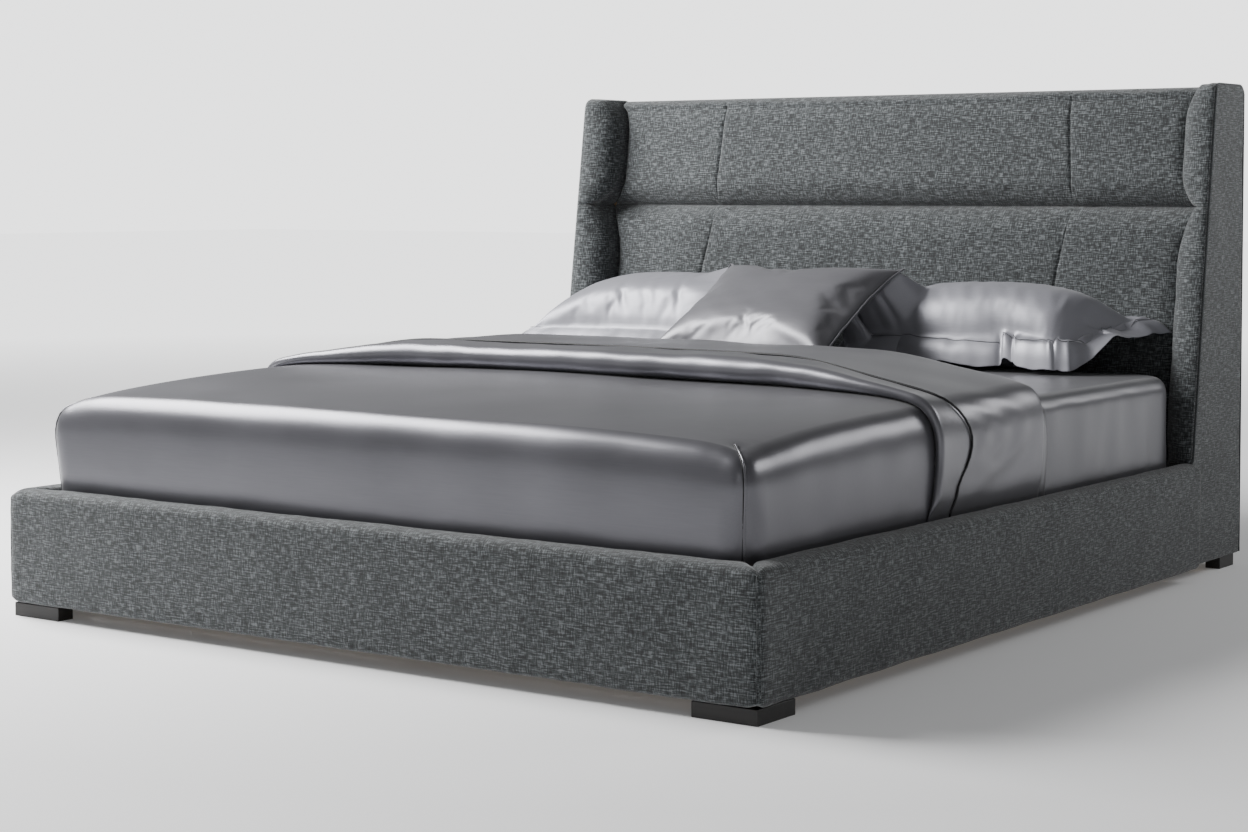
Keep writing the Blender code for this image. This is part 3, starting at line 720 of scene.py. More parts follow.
def build_wing_pad(tier, label, sign, low, high):
    """A bulging pad on the wing's inner face, which wraps round its front edge to the outer welt."""
    upper = tier == "upper"
    stop = HEAD_TOP - 0.003 if upper else high
    zs = tier_steps(low, stop, 0.014)
    rings = []
    for z in zs:
        thick = tier_thickness(z, low, high)
        end = z - low if upper else stop - z
        thick = thick * (1 - 0.55 * max(1 - end / 0.010, 0) ** 2)
        over = max(z - (HEAD_TOP - 0.028), 0.0)
        shoulder = SHOULDER - math.sqrt(max(SHOULDER**2 - over**2, 0))
        front = wing_front(z) + 0.0035 * max(1 - end / 0.012, 0) ** 2 + shoulder
        thick = max(thick - 0.5 * shoulder, 0.006)
        back = board_front(z) - 0.001
        inner = INNER_X - 0.0004 - thick
        outer = WING_X - 0.0022 if z > RAIL_TOP + 0.004 else INNER_X - 0.0006
        front = front if z > RAIL_TOP + 0.004 else front + 0.012
        round_out = 0.007
        round_in = min(0.058, 0.72 * (outer - inner))
        face = [(outer, front + 0.0095)]
        for a in sweep(0, 90, 5):
            face.append((outer - round_out * (1 - math.cos(a)), front + round_out * (1 - math.sin(a))))
        for x in np.linspace(outer - round_out, inner + round_in, 6)[1:-1]:
            face.append((x, front - 0.0012))
        for a in sweep(0, 90, 8):
            face.append((inner + round_in * (1 - math.sin(a)), front + 1.15 * round_in * (1 - math.cos(a))))
        start = front + 1.15 * round_in
        for t in (0.10, 0.24, 0.40, 0.58, 0.78, 1.0):
            face.append((inner, start + (back - start) * t))
        rear = [(INNER_X - 0.0002, back), (INNER_X - 0.0002, (back + front) / 2), (INNER_X - 0.0002, front + 0.008)]
        rings.append([(sign * x, y, z) for x, y in face + rear])
    pad = loft(f"wing_cushion_{tier}_{label}", rings)
    points = coords(pad)
    pins = (np.abs(points[:, 0]) > INNER_X - 0.001) | (points[:, 2] < zs[0] + 0.001) | (points[:, 2] > zs[-1] - 0.001)
    pins |= points[:, 1] > board_front(points[:, 2]) - 0.004
    inflate(pad, 5.0, 0.0045, pins, 16, 0.015)
    points = coords(pad)
    seam = np.minimum(np.abs(points[:, 2] - low), np.abs(points[:, 2] - high))
    near = np.exp(-seam / 0.022) * (np.abs(points[:, 0]) < INNER_X - 0.004) * (points[:, 2] < BOARD_TOP - 0.02)
    puckers = 0.0008 * near * ripple(points, 0.026, 41 + sign, (1, 1, 0.15))
    push(pad, puckers + 0.0005 * near * ripple(points, 0.09, 43))
    padded_piece(pad, "bed_frame", TWEED, [f"wing_pad_{tier}_{label}"])


def seam_x(sign, z):
    """X of the upright seam at height z, which wanders a little as hand-laid seams do."""
    if sign < 0:
        return -(0.556 + 0.012 * smooth(1.26 - z, 0.0, 0.30) + 0.034 * smooth(SEAM - z, 0.0, 0.24))
    return 0.566 + 0.016 * smooth(1.26 - z, 0.0, 0.30) - 0.030 * smooth(SEAM - z, 0.0, 0.24)


def build_centre_cushions():
    """The two tiers of the headboard's face, each one cushion with two upright seams."""
    base = 0.570
    gaps = np.array([0, 0.002, 0.005, 0.009, 0.015, 0.023])
    inner = np.linspace(0, base - gaps[-1], 44)
    outer = np.linspace(base + gaps[-1], 0.90, 22)
    edge = 0.90 + np.array([0.006, 0.010, 0.0135, 0.016, 0.018, 0.0192, 0.02])
    half = np.concatenate([inner, base - gaps[::-1][1:], (base + gaps)[1:], outer[1:], edge])
    xs = np.concatenate([-half[::-1], half[1:]])
    for tier, (low, high) in TIERS.items():
        upper = tier == "upper"
        top_turn = 0.024
        zs = tier_steps(low, high, 0.011) if not upper else tier_steps(low, high + 0.012, 0.011)
        last = zs[-1]
        rings, columns = [], []
        for x0 in xs:
            side = np.sign(x0)
            amount = smooth(abs(x0), 0.10, base) * (1 - smooth(abs(x0), base, 0.80))
            stretch = smooth(abs(x0), 0.78, 0.92)
            limit = INNER_X - 0.0025 - tier_thickness(zs, low, high)
            x = x0 + (seam_x(side if side else 1, zs) - side * base) * amount
            x = x + side * (limit - 0.92) * stretch
            x_back = x0 + side * (INNER_X - 0.0015 - 0.92) * stretch
            end = max(1 - (0.92 - abs(x0)) / 0.020, 0.0)
            depth = 0.006 + 0.051 * crown(zs, low, last if upper else high)
            if upper:
                turn = np.clip((zs - (last - top_turn)) / top_turn, 0, 1)
                depth = np.where(turn > 0, 0.012 + 0.045 * np.sqrt(np.clip(1 - turn**2, 0, 1)), depth)
                full = 0.006 + 0.051 * crown(zs, low, low + 2 * (high - low))
                depth = np.minimum(depth, full)
            depth = depth * (1 - 0.5 * end**2.2)
            ys = board_front(zs) - depth
            ring = [(xx, yy, zz) for xx, yy, zz in zip(x, ys, zs)]
            if upper:
                y_top = ys[-1]
                board = board_front(BOARD_TOP)
                for y in (y_top + 0.012, y_top + 0.03, board - 0.004):
                    ring.append((x[-1], y, last + 0.0002))
                for y in np.linspace(board + 0.0004, BACK_Y - 0.008, 6):
                    ring.append((x_back, y, last + 0.0002))
                ring += [(x_back, BACK_Y - 0.003, last - 0.002), (x_back, BACK_Y - 0.002, last - 0.006)]
                ring += [(x_back, BACK_Y - 0.0025, BOARD_TOP + 0.0005), (x_back, 1.19, BOARD_TOP + 0.0005)]
                ring += [(x_back, board + 0.0006, BOARD_TOP + 0.0005), (x[-1], board - 0.001, BOARD_TOP + 0.0005)]
            for z in np.linspace(zs[-1] if not upper else 1.24, zs[0], 7):
                ring.append((np.interp(z, zs, x), board_front(z) - 0.001, z))
            rings.append(ring)
            columns.append(x0)
        pad = loft(f"head_cushion_{tier}", rings)
        points = coords(pad)
        m = len(rings[0])
        column = np.repeat(np.array(columns), m)
        row = np.tile(np.arange(m), len(columns))
        front = row < len(zs)
        pins = ~front | (row == 0) | (row >= len(zs) - (1 if not upper else 2))
        pins |= np.abs(np.abs(column) - base) < 0.0012
        pins |= np.abs(column) > 0.917
        inflate(pad, 5.0, 0.0042, pins, 16, 0.012)
        points = coords(pad)
        far = np.minimum(np.abs(points[:, 2] - low), np.abs(points[:, 2] - (9.0 if upper else high)))
        upright = np.abs(np.abs(column) - base)
        sink = 0.0022 * np.exp(-((upright / 0.004) ** 2)) + 0.0008 * np.exp(-upright / 0.025)
        puckers = 0.0011 * np.exp(-far / 0.020) * ripple(points, 0.030, 51, (1, 1, 0.1))
        puckers += 0.0004 * np.exp(-upright / 0.016) * ripple(points, 0.026, 53, (0.1, 1, 1))
        soft = 0.0016 * ripple(points, 0.34, 57) * np.clip(far / 0.05, 0, 1)
        points[:, 1] += (sink - puckers - soft) * front
        set_coords(pad, points)
        padded_piece(pad, "bed_frame", TWEED, [f"headboard_cushion_{tier}"])


def build_seam_strip():
    """The dark tape at the bottom of the seam between the two tiers."""
    path = [(x, board_front(SEAM) - 0.0052, SEAM) for x in np.linspace(-0.955, 0.955, 24)]
    tweed_welt("head_seam_tape", path, 0.0030)


def build_head_back():
    """The upholstered back panel between the wings, with a welt round it."""
    half, top = 0.9785, 1.2618
    side = np.array([0.964, 0.972, 0.977, half])
    near = np.array([0, 0.0015, 0.005, 0.011])
    xs = np.concatenate([-side[::-1], np.linspace(-0.95, 0.95, 60), side])
    zs = np.concatenate([RAIL_BOTTOM + near, np.linspace(0.06, 1.24, 44), top - near[::-1]])
    grid_x, grid_z = np.meshgrid(xs, zs)
    edge = np.minimum(half - np.abs(grid_x), np.minimum(grid_z - RAIL_BOTTOM, top - grid_z))
    flat = np.stack([grid_x.ravel(), np.zeros(grid_x.size), grid_z.ravel()], axis=1)
    swell = 0.0055 * (1 - np.exp(-np.clip(edge, 0, 1).ravel() / 0.008))
    outer = flat.copy()
    outer[:, 1] = BACK_Y - 0.0062 + swell + (0.0005 * ripple(flat, 0.24, 61) - 0.0004) * (edge.ravel() > 0.002)
    outer[:, 1] = np.minimum(outer[:, 1], BACK_Y)
    inner = flat.copy()
    inner[:, 1] = BACK_Y - 0.0064
    n, m = grid_x.shape
    faces = quads(n, m) + quads(n, m, n * m)
    border = border_of(n, m)
    for a, b in zip(border, border[1:] + border[:1]):
        faces.append((a, b, b + n * m, a + n * m))
    panel = mesh_object("head_back_panel", np.concatenate([outer, inner]), faces)
    finish_piece(box_uv(panel), "bed_frame", TWEED, ["headboard_back_cover"])
    path = [(x, BACK_Y - 0.0018, z) for x, z in ((-0.9775, 0.036), (0.9775, 0.036))]
    path += [(-x, y, 1.259) for x, y, _ in path]
    tweed_welt("back_welt", path, 0.002, cyclic=True)


# ---------------------------------------------------------------- bedding


def rounded(x, y, hx, y_low, y_high, radius, corners):
    """Points of a rectangle with its named corners rounded in plan, and the outward direction at each.

    radius is that of the foot corners and that of the head corners.
    """
    x = np.array(x, float)
    y = np.array(y, float)
    px, py = x.copy(), y.copy()
    nx = np.where(np.abs(x) > hx - 1e-6, np.sign(x), 0.0)
    ny = np.where(y < y_low + 1e-6, -1.0, np.where(y > y_high - 1e-6, 1.0, 0.0))
    ends = []
    if "foot" in corners:
        ends.append((-1, y_low, radius[0]))
    if "head" in corners:
        ends.append((1, y_high, radius[1]))
    for way, y_end, r in ends:
        a = (np.abs(x) - (hx - r)) / r
        b = ((y - y_end) * way + r) / r
        near = (a > 0) & (b > 0)
        a, b = np.clip(a, 0, 1), np.clip(b, 0, 1)
        u, v = a * np.sqrt(1 - b * b / 2), b * np.sqrt(1 - a * a / 2)
        px = np.where(near, np.sign(x) * (hx - r + u * r), px)
        py = np.where(near, y_end + way * (v * r - r), py)
        length = np.sqrt(u * u + v * v) + 1e-9
        nx = np.where(near, np.sign(x) * u / length, nx)
        ny = np.where(near, way * v / length, ny)
    return px, py, nx, ny


def lines(low, high, coarse, dense_low, dense_high, step=0.004, spread=0.07):
    """Grid lines from low to high, close together near the ends that are dense."""
    near = [0.0]
    while near[-1] < spread:
        near.append(near[-1] + step * (1 + near[-1] / 0.02))
    near = np.array(near)
    start = low + near if dense_low else np.array([low])
    stop = high - near[::-1] if dense_high else np.array([high])
    count = max(int((stop[0] - start[-1]) / coarse), 2)
    return np.concatenate([start, np.linspace(start[-1], stop[0], count + 1)[1:-1], stop])


def tray_points(xs, ys, hx, y_low, y_high, r, corners, height, profile):
    """Top grid and the drop round it. profile gives (outward, fraction of the drop) rows.

    Returns points, faces and for each point its row (0 on top), and the border's places along the outline.
    """
    gx, gy = np.meshgrid(xs, ys)
    n, m = gx.shape
    px, py, _, _ = rounded(gx.ravel(), gy.ravel(), hx, y_low, y_high, r, corners)
    top = np.stack([px, py, height(px, py)], axis=1)
    left = [i * m for i in range(n)]
    foot = [j for j in range(m)]
    right = [i * m + m - 1 for i in range(n)]
    head = [(n - 1) * m + j for j in range(m)]
    if "head" in corners:
        border = left[::-1][:-1] + foot[:-1] + right[:-1] + head[::-1][:-1]
        closed = True
    else:
        border = left[::-1][:-1] + foot[:-1] + right
        closed = False
    bx, by = gx.ravel()[border], gy.ravel()[border]
    qx, qy, nx, ny = rounded(bx, by, hx, y_low, y_high, r, corners)
    points = [top]
    rows = [np.zeros(len(top), int)]
    faces = quads(n, m)
    previous = list(border)
    count = len(border)
    start = len(top)
    edge_z = top[border, 2]
    for k, (out, share, bottom) in enumerate(profile, start=1):
        z = bottom + (edge_z - bottom) * share
        points.append(np.stack([qx + nx * out, qy + ny * out, z], axis=1))
        rows.append(np.full(count, k))
        current = list(range(start, start + count))
        pairs = range(count) if closed else range(count - 1)
        for i in pairs:
            j = (i + 1) % count
            faces.append((previous[i], previous[j], current[j], current[i]))
        previous = current
        start += count
    return np.concatenate(points), faces, np.concatenate(rows), border


def solid_from(name, outer, faces, inner):
    """A closed shell between two point sets that share their faces."""
    count = len(outer)
    edges = {}
    for f in faces:
        for a, b in zip(f, f[1:] + f[:1]):
            key = (min(a, b), max(a, b))
            edges.setdefault(key, []).append((a, b))
    rim = [found[0] for found in edges.values() if len(found) == 1]
    whole = list(faces)
    whole += [tuple(i + count for i in reversed(f)) for f in faces]
    whole += [(b, a, a + count, b + count) for a, b in rim]
    return mesh_object(name, np.concatenate([outer, inner]), whole)


DUVET_OUT = 0.045
DUVET_HX = 0.977 - DUVET_OUT
DUVET_FOOT = -1.156 + DUVET_OUT
DUVET_HEAD = 0.092
DUVET_LOW = 0.25
DUVET_PROFILE = [
    (0.010, 0.983), (0.020, 0.955), (0.029, 0.915), (0.0365, 0.862), (0.0415, 0.80), (0.0445, 0.73),
    (0.0458, 0.66), (0.0465, 0.59), (0.0468, 0.52), (0.0465, 0.45), (0.046, 0.385), (0.0450, 0.32),
    (0.0435, 0.26), (0.0415, 0.20), (0.040, 0.14), (0.039, 0.07), (0.038, 0.0),
]


def duvet_height(x, y):
    """Height of the duvet's top."""
    crest = 0.5665 - 0.039 * np.exp(-np.maximum(y - DUVET_FOOT, 0) / 0.32)
    inward = np.maximum(DUVET_HX - np.abs(x), 0)
    return crest - 0.017 * np.exp(-inward / 0.055) - 0.006 * (x / DUVET_HX) ** 2


def bed_top(x, y):
    """Height of the mattress top, pressed down and rounded off at the foot by the tight duvet."""
    under = duvet_height(x, np.maximum(y, DUVET_FOOT)) - 0.017
    corner = np.exp(-np.hypot(np.abs(x) - DUVET_HX, y - DUVET_FOOT) / 0.06)
    return np.minimum(SHEET_TOP, under - 0.014 * corner + 0.03 * smooth(y, -0.10, 0.05))


def build_mattress():
    """The mattress in its ticking, with a rounded edge, under the fitted sheet."""
    half, low, high = MATTRESS_X - 0.04, MATTRESS_FOOT + 0.04, MATTRESS_HEAD - 0.04
    xs = lines(-half, half, 0.10, True, True, 0.01, 0.05)
    ys = lines(low, high, 0.10, True, True, 0.01, 0.05)
    edge, drop = 0.038, 0.2795
    rows = []
    for a in sweep(15, 90, 6):
        rows.append((edge * math.sin(a), 1 - (edge * (1 - math.cos(a))) / drop, MATTRESS_BOTTOM))
    rows += [(edge, share, MATTRESS_BOTTOM) for share in (0.7, 0.5, 0.3, 0.12)]
    rows += [(0.036, 0.06, MATTRESS_BOTTOM), (0.030, 0.02, MATTRESS_BOTTOM), (0.020, 0.0, MATTRESS_BOTTOM)]
    points, faces, _, border = tray_points(
        xs, ys, half, low, high, (0.06, 0.03), "foot head", lambda x, y: bed_top(x, y) - 0.0055, rows
    )
    count = len(border)
    faces.append(tuple(range(len(points) - count, len(points))))
    body = mesh_object("mattress_body", points, faces)
    padded_piece(body, "mattress", TICKING, ["mattress"])


def build_fitted_sheet():
    """The fitted sheet, stretched over the mattress."""
    hx, r = 0.927, (0.06, 0.032)
    y_low, y_high = MATTRESS_FOOT + 0.040, MATTRESS_HEAD - 0.036
    xs = lines(-hx, hx, 0.030, True, True, 0.006, 0.06)
    ys = lines(y_low, y_high, 0.024, True, True, 0.006, 0.06)
    turn = 0.0395
    rows = []
    for a in sweep(15, 90, 6):
        rows.append((turn * math.sin(a), 1 - turn * (1 - math.cos(a)) / (SHEET_TOP - SHEET_HEM), SHEET_HEM))
    rows += [(turn + 0.0008 * math.sin(s * math.pi), s, SHEET_HEM) for s in np.linspace(0.80, 0.0, 12)]

    points, faces, row, _ = tray_points(xs, ys, hx, y_low, y_high, r, "foot head", bed_top, rows)
    sheet = mesh_object("fitted_sheet_cloth", points, faces)
    points = coords(sheet)
    side = (row > 4).astype(float)
    lift = 0.0012 + 0.0006 * ripple(points, 0.22, 71)
    lift += side * (0.0008 + 0.0009 * ripple(points, 0.10, 73, (1, 1, 0.25)))
    corner = np.exp(-np.hypot(np.abs(points[:, 0]) - 0.955, points[:, 1] - 0.878) / 0.07)
    lift += 0.0016 * corner * ripple(points, 0.035, 75, (1, 1, 0.2)) * (row > 0)
    lift += (row == 0) * 0.0009 * ripple(points, 0.13, 77, (1, 0.35, 1)) * smooth(points[:, 1], 0.1, 0.3)
    push(sheet, np.clip(lift, 0.0004, 0.004))
    finish_piece(box_uv(sheet), "mattress", SHEET, ["fitted_sheet"])
    skin = sheet.modifiers.new("Solidify", "SOLIDIFY")
    skin.thickness = 0.0006
    skin.offset = 1.0
    subdivide(sheet)


def build_duvet():
    """The duvet, boxed over the foot end, with a corded seam down each foot corner and a thin black cord of painted
    shade beside it.
    """
    xs = lines(-DUVET_HX, DUVET_HX, 0.018, True, True)
    ys = lines(DUVET_FOOT, DUVET_HEAD, 0.016, True, False)
    r = (0.022, 0.022)
    profile = [(out, share, DUVET_LOW) for out, share in DUVET_PROFILE]
    points, faces, row, border = tray_points(
        xs, ys, DUVET_HX, DUVET_FOOT, DUVET_HEAD, r, "foot", duvet_height, profile
    )
    cover = mesh_object("duvet_probe", points, faces)
    way = normals(cover).copy()
    bpy.data.objects.remove(cover, do_unlink=True)
    if way[len(xs) // 2 + len(xs) * (len(ys) // 2), 2] < 0:
        way = -way
    p = points
    level = smooth(p[:, 2], 0.30, 0.36)
    soft = 0.0015 * ripple(p, 0.60, 81) + 0.0004 * ripple(p, 0.25, 82)
    side = smooth(np.abs(p[:, 0]), DUVET_HX, DUVET_HX + 0.045)
    front = smooth(DUVET_FOOT - p[:, 1], 0.0, 0.045)
    folds = front * 0.0009 * ripple(p, 0.17, 83, (1, 1, 0.3)) * smooth(p[:, 0], -0.6, 0.7)
    folds += side * 0.0009 * ripple(p, 0.17, 84, (1, 1, 0.3))
    # the foot corners: a mitred seam down each, pinched where it starts on top
    dx = np.abs(p[:, 0]) - DUVET_HX
    dy = DUVET_FOOT - p[:, 1]
    across = (dx - dy) / math.sqrt(2)
    along = (dx + dy) / math.sqrt(2)
    on_top = smooth(along, -0.075, 0.005)
    groove = 0.0035 * np.exp(-((across / 0.006) ** 2)) * on_top
    slump = 0.004 * np.exp(-np.hypot(dx + 0.020, dy + 0.020) / 0.030) * smooth(p[:, 2], 0.48, 0.50)
    ear = 0.012 * np.exp(-((across / 0.030) ** 2)) * smooth(along, 0.0, 0.035) * smooth(p[:, 2], 0.34, 0.45)
    rays = 0.0010 * np.sin(np.arctan2(dy + 0.10, dx + 0.10) * 14.0) * np.exp(-np.hypot(dx, dy) / 0.05)
    rays = rays * smooth(p[:, 2], 0.46, 0.50)
    deep = smooth(p[:, 2], 0.27, 0.33) * 0.6 + 0.4
    amount = (soft + folds) * level - groove * deep - slump + ear + rays
    outer = p + way * amount[:, None]
    keep_x = MATTRESS_X + 0.0028
    keep_y = MATTRESS_FOOT - 0.0028
    inner = p - way * (0.013 * smooth(np.minimum(dx, dy), -0.030, -0.005))[:, None]
    inner[:, 0] = np.clip(inner[:, 0], -keep_x, keep_x)
    inner[:, 1] = np.maximum(inner[:, 1], keep_y)
    inner[:, 2] = np.minimum(inner[:, 2], np.minimum(CLEAR_TOP, bed_top(p[:, 0], p[:, 1]) + 0.0035))
    # round the lining's edge like the mattress under it
    over_x = np.maximum(np.abs(inner[:, 0]) - (MATTRESS_X - 0.036), 0)
    over_y = np.maximum((MATTRESS_FOOT + 0.036) - inner[:, 1], 0)
    far = np.clip(np.maximum(over_x, over_y), 0, 0.0385)
    cap = bed_top(p[:, 0], p[:, 1]) + 0.0035 - (0.0388 - np.sqrt(0.0388**2 - far**2))
    inner[:, 2] = np.where(row < 5, np.minimum(inner[:, 2], cap), inner[:, 2])
    widest = 0.9805 + 0.03 * smooth(p[:, 2], 0.31, 0.36)
    outer[:, 0] = np.clip(outer[:, 0], -widest, widest)
    low = p[:, 2] < 0.31
    outer[:, 0] = np.where(low, np.clip(outer[:, 0], -0.9785, 0.9785), outer[:, 0])
    outer[:, 1] = np.where(low, np.maximum(outer[:, 1], -1.1538), outer[:, 1])
    duvet = solid_from("duvet_cover", outer, faces, inner)
    padded_piece(duvet, "mattress", DUVET, ["duvet"])
    # a cord in each foot corner's seam, from a little way in on top down to the rails, and beside it a thin black
    # cord that paints the shade line of the overlapping side panel
    border_x, border_y = xs[np.array(border) % len(xs)], ys[np.array(border) // len(xs)]
    for sign in (-1, 1):
        place = int(np.argmin(np.hypot(border_x - sign * DUVET_HX, border_y - DUVET_FOOT)))
        corner = border[place]
        way_in = [corner + (len(xs) - sign) * i for i in (5, 3, 2, 1)]
        count, start = len(border), len(xs) * len(ys)
        spots = way_in + [corner] + [start + k * count + place for k in range(len(profile) - 1)]
        label = "right" if sign > 0 else "left"
        path = outer[spots] + way[spots] * 0.0016
        cord = tube(f"duvet_corner_cord_{label}", path, 0.0022)
        finish_piece(cord, "mattress", DUVET)
        # painted shade: this thin black cord beside the seam stands for the shade under the side panel's overlapping
        # edge
        path = path + np.array((-0.0034 * sign, -0.0008, 0))
        shade = tube(f"duvet_corner_stitch_{label}", path, 0.0013)
        finish_piece(shade, "mattress", PIPING)


def path_over():
    """Places across the bed for the turned-back part: (x on top, row of the side drop or 0)."""
    top = lines(-DUVET_HX, DUVET_HX, 0.022, True, True, 0.008, 0.05)
    drop = list(range(1, len(DUVET_PROFILE) + 1))
    return [(-DUVET_HX, k) for k in reversed(drop)] + [(x, 0) for x in top] + [(DUVET_HX, k) for k in drop]


def over_point(x, k, y, h):
    """A point h above the duvet at the place (x, k) across it and y along it."""
    if k == 0:
        z = duvet_height(x, y)
        tilt = (duvet_height(x + 0.004, y) - duvet_height(x - 0.004, y)) / 0.008
        n = np.array([-tilt, 1.0]) / math.hypot(tilt, 1.0)
        return x + n[0] * h, z + n[1] * h
    side = 1 if x > 0 else -1
    edge = duvet_height(x, y)
    spots = [(0.0, 1.0)] + DUVET_PROFILE
    out, share = spots[k]
    a, b = spots[k - 1], spots[min(k + 1, len(spots) - 1)]
    drop = edge - DUVET_LOW
    run = np.array([b[0] - a[0], (b[1] - a[1]) * drop])
    n = np.array([-run[1], run[0]]) / np.linalg.norm(run)
    return side * (DUVET_HX + out + n[0] * h), DUVET_LOW + drop * share + n[1] * h


def build_turnback():
    """The head end of the duvet folded back on itself: a thick roll, a piping and a flat layer behind."""
    places = path_over()
    rings, pipe = [], []
    for x, k in places:
        bend = abs(x) / DUVET_HX
        drop = 0.0 if k == 0 else (1 - DUVET_PROFILE[k - 1][1])
        middle = 1 - smooth(bend, 0.55, 1.0)
        roll = 0.024 + 0.036 * middle
        layer = 0.014 + 0.043 * middle
        if k:
            ease = smooth(drop, 0.0, 0.45)
            roll = 0.024 - 0.006 * ease
            layer = 0.014 - 0.004 * ease
            tuck = smooth(over_point(x, k, -0.2, 0.0)[1], 0.300, 0.345)
            roll = 0.0022 + (roll - 0.0022) * tuck
            layer = 0.0020 + (layer - 0.0020) * tuck
        front = -0.388 - 0.045 * smooth(bend, 0.35, 1.0) + 0.012 * math.sin(drop * 5.0)
        seam = front + 0.098 + (0.052 * math.sin(min(drop * 1.7, 1.0) * math.pi) if k else 0.0)
        back = 0.122 - 0.020 * smooth(bend, 0.5, 1.0) - (0.018 * drop if k else 0.0)
        r = roll / 2
        profile = [(front + r * 1.2, 0.0012)]
        for a in sweep(-75, 90, 9):
            profile.append((front + r * (1 - math.cos(a)), r + r * math.sin(a) * 0.98 + 0.0012))
        rise = layer + 0.006 * (roll / 0.06)
        profile.append((front + 0.045, roll * 0.98 + (rise - roll) * 0.45))
        profile += [(seam - 0.016, rise + 0.001), (seam - 0.006, rise), (seam - 0.002, rise - 0.0012)]
        profile += [(seam + 0.003, rise - 0.0012), (seam + 0.008, rise - 0.0004)]
        for y in np.linspace(seam + 0.024, back - 0.030, 15):
            profile.append((y, layer))
        under = -0.036 if k == 0 else -0.004
        under = under if bend < 0.96 or k else -0.030
        thick = layer - under
        turn = min(0.022, thick * 0.45)
        for a in sweep(70, -90, 7):
            profile.append((back - turn + turn * math.cos(a), under + (layer - under) * (0.5 + 0.5 * math.sin(a))))
        profile += [(0.0985, under), (0.0955, 0.0014)] + [(y, 0.0012) for y in (0.06, -0.05, -0.2, -0.30)]
        ring = []
        for y, h in profile:
            px, pz = over_point(x, k, y, h)
            ring.append((px, y, pz))
        rings.append(ring)
        px, pz = over_point(x, k, seam + 0.0005, rise + 0.0006)
        pipe.append((px, seam + 0.0005, pz))
    fold = loft("duvet_fold", rings)
    p = coords(fold)
    m = len(rings[0])
    row = np.tile(np.arange(m), len(rings))
    outer = (row > 1) & (row < m - 8)
    side = smooth(np.abs(p[:, 0]), 0.93, 0.975)
    free = smooth(p[:, 2], 0.305, 0.36)
    waves = 0.0016 * np.sin(p[:, 1] * 2 * math.pi / 0.030 + 1.2 * ripple(p, 0.3, 91))
    waves = waves * side * smooth(p[:, 1], -0.27, -0.24)
    waves = waves * (1 - smooth(p[:, 1], 0.02, 0.08))
    waves += 0.0015 * ripple(p, 0.25, 92) + 0.0008 * ripple(p, 0.07, 93, (0.6, 1, 1)) * (p[:, 1] < -0.28)
    push(fold, waves * outer * free)
    # the lighter satin paints light on the turned-back band
    padded_piece(fold, "mattress", TURNBACK_LIGHTENED, ["duvet_turnback"])
    cord = tube("fold_piping", pipe, 0.0026)
    finish_piece(cord, "mattress", PIPING)


# ---------------------------------------------------------------- pillows


def pillow_grid(width, depth, thickness, spacing):
    """Two grids that share a seam outline: the face and the back of a stuffed case, lying flat."""
    n = int(depth / spacing) + 1
    m = int(width / spacing) + 1
    b, a = np.meshgrid(np.linspace(-1, 1, n), np.linspace(-1, 1, m), indexing="ij")
    swell = (1 - np.abs(a) ** 3.0) * (1 - np.abs(b) ** 2.6)
    half = thickness / 2 * np.clip(swell, 0, 1) ** 0.62
    x = a * width / 2 * (1 - 0.02 * (1 - b * b))
    y = b * depth / 2 * (1 - 0.02 * (1 - a * a))
    face = np.stack([x, y, half], axis=-1).reshape(-1, 3)
    rear = np.stack([x, y, -half], axis=-1).reshape(-1, 3)
    return face, rear, n, m


def sewn(face, rear, n, m):
    """Points and faces of a face grid and a rear grid sewn along their outline, and where each rear point went."""
    shared = set(border_of(n, m))
    index, points = [], list(face)
    for i in range(n * m):
        index.append(i if i in shared else len(points))
        if i not in shared:
            points.append(rear[i])
    faces = quads(n, m)
    faces += [tuple(index[i] for i in reversed(f)) for f in faces]
    return np.array(points), faces, index


def fatten(face, rear, thickness):
    """Scales two grids in height so that the case is as thick as it should be."""
    span = max(face[:, 2].max() - rear[:, 2].min(), 0.01)
    face[:, 2] *= thickness / span
    rear[:, 2] *= thickness / span


def stuffed(name, width, depth, thickness, spacing, pressure, cap, grow, seed, frames=20):
    """Simulates a stuffed case and returns its face and back grids and their size."""
    face, rear, n, m = pillow_grid(width, depth, thickness, spacing)
    points, faces, index = sewn(face, rear, n, m)
    points[:, 2] += 0.0006 * ripple(points, 0.05, seed)
    case = mesh_object(name, points, faces)
    inflate(case, pressure, cap, None, frames, grow, 18.0, 0.08)
    done = coords(case)
    done -= (done.max(axis=0) + done.min(axis=0)) / 2
    reach = np.abs(done).max(axis=0)
    ear = 0.009 * (np.abs(done[:, 0] / reach[0]) * np.abs(done[:, 1] / reach[1])) ** 6
    done[:, 0] += np.sign(done[:, 0]) * ear
    done[:, 1] += np.sign(done[:, 1]) * ear
    bpy.data.objects.remove(case, do_unlink=True)
    return done[: n * m].copy(), done[index].copy(), n, m


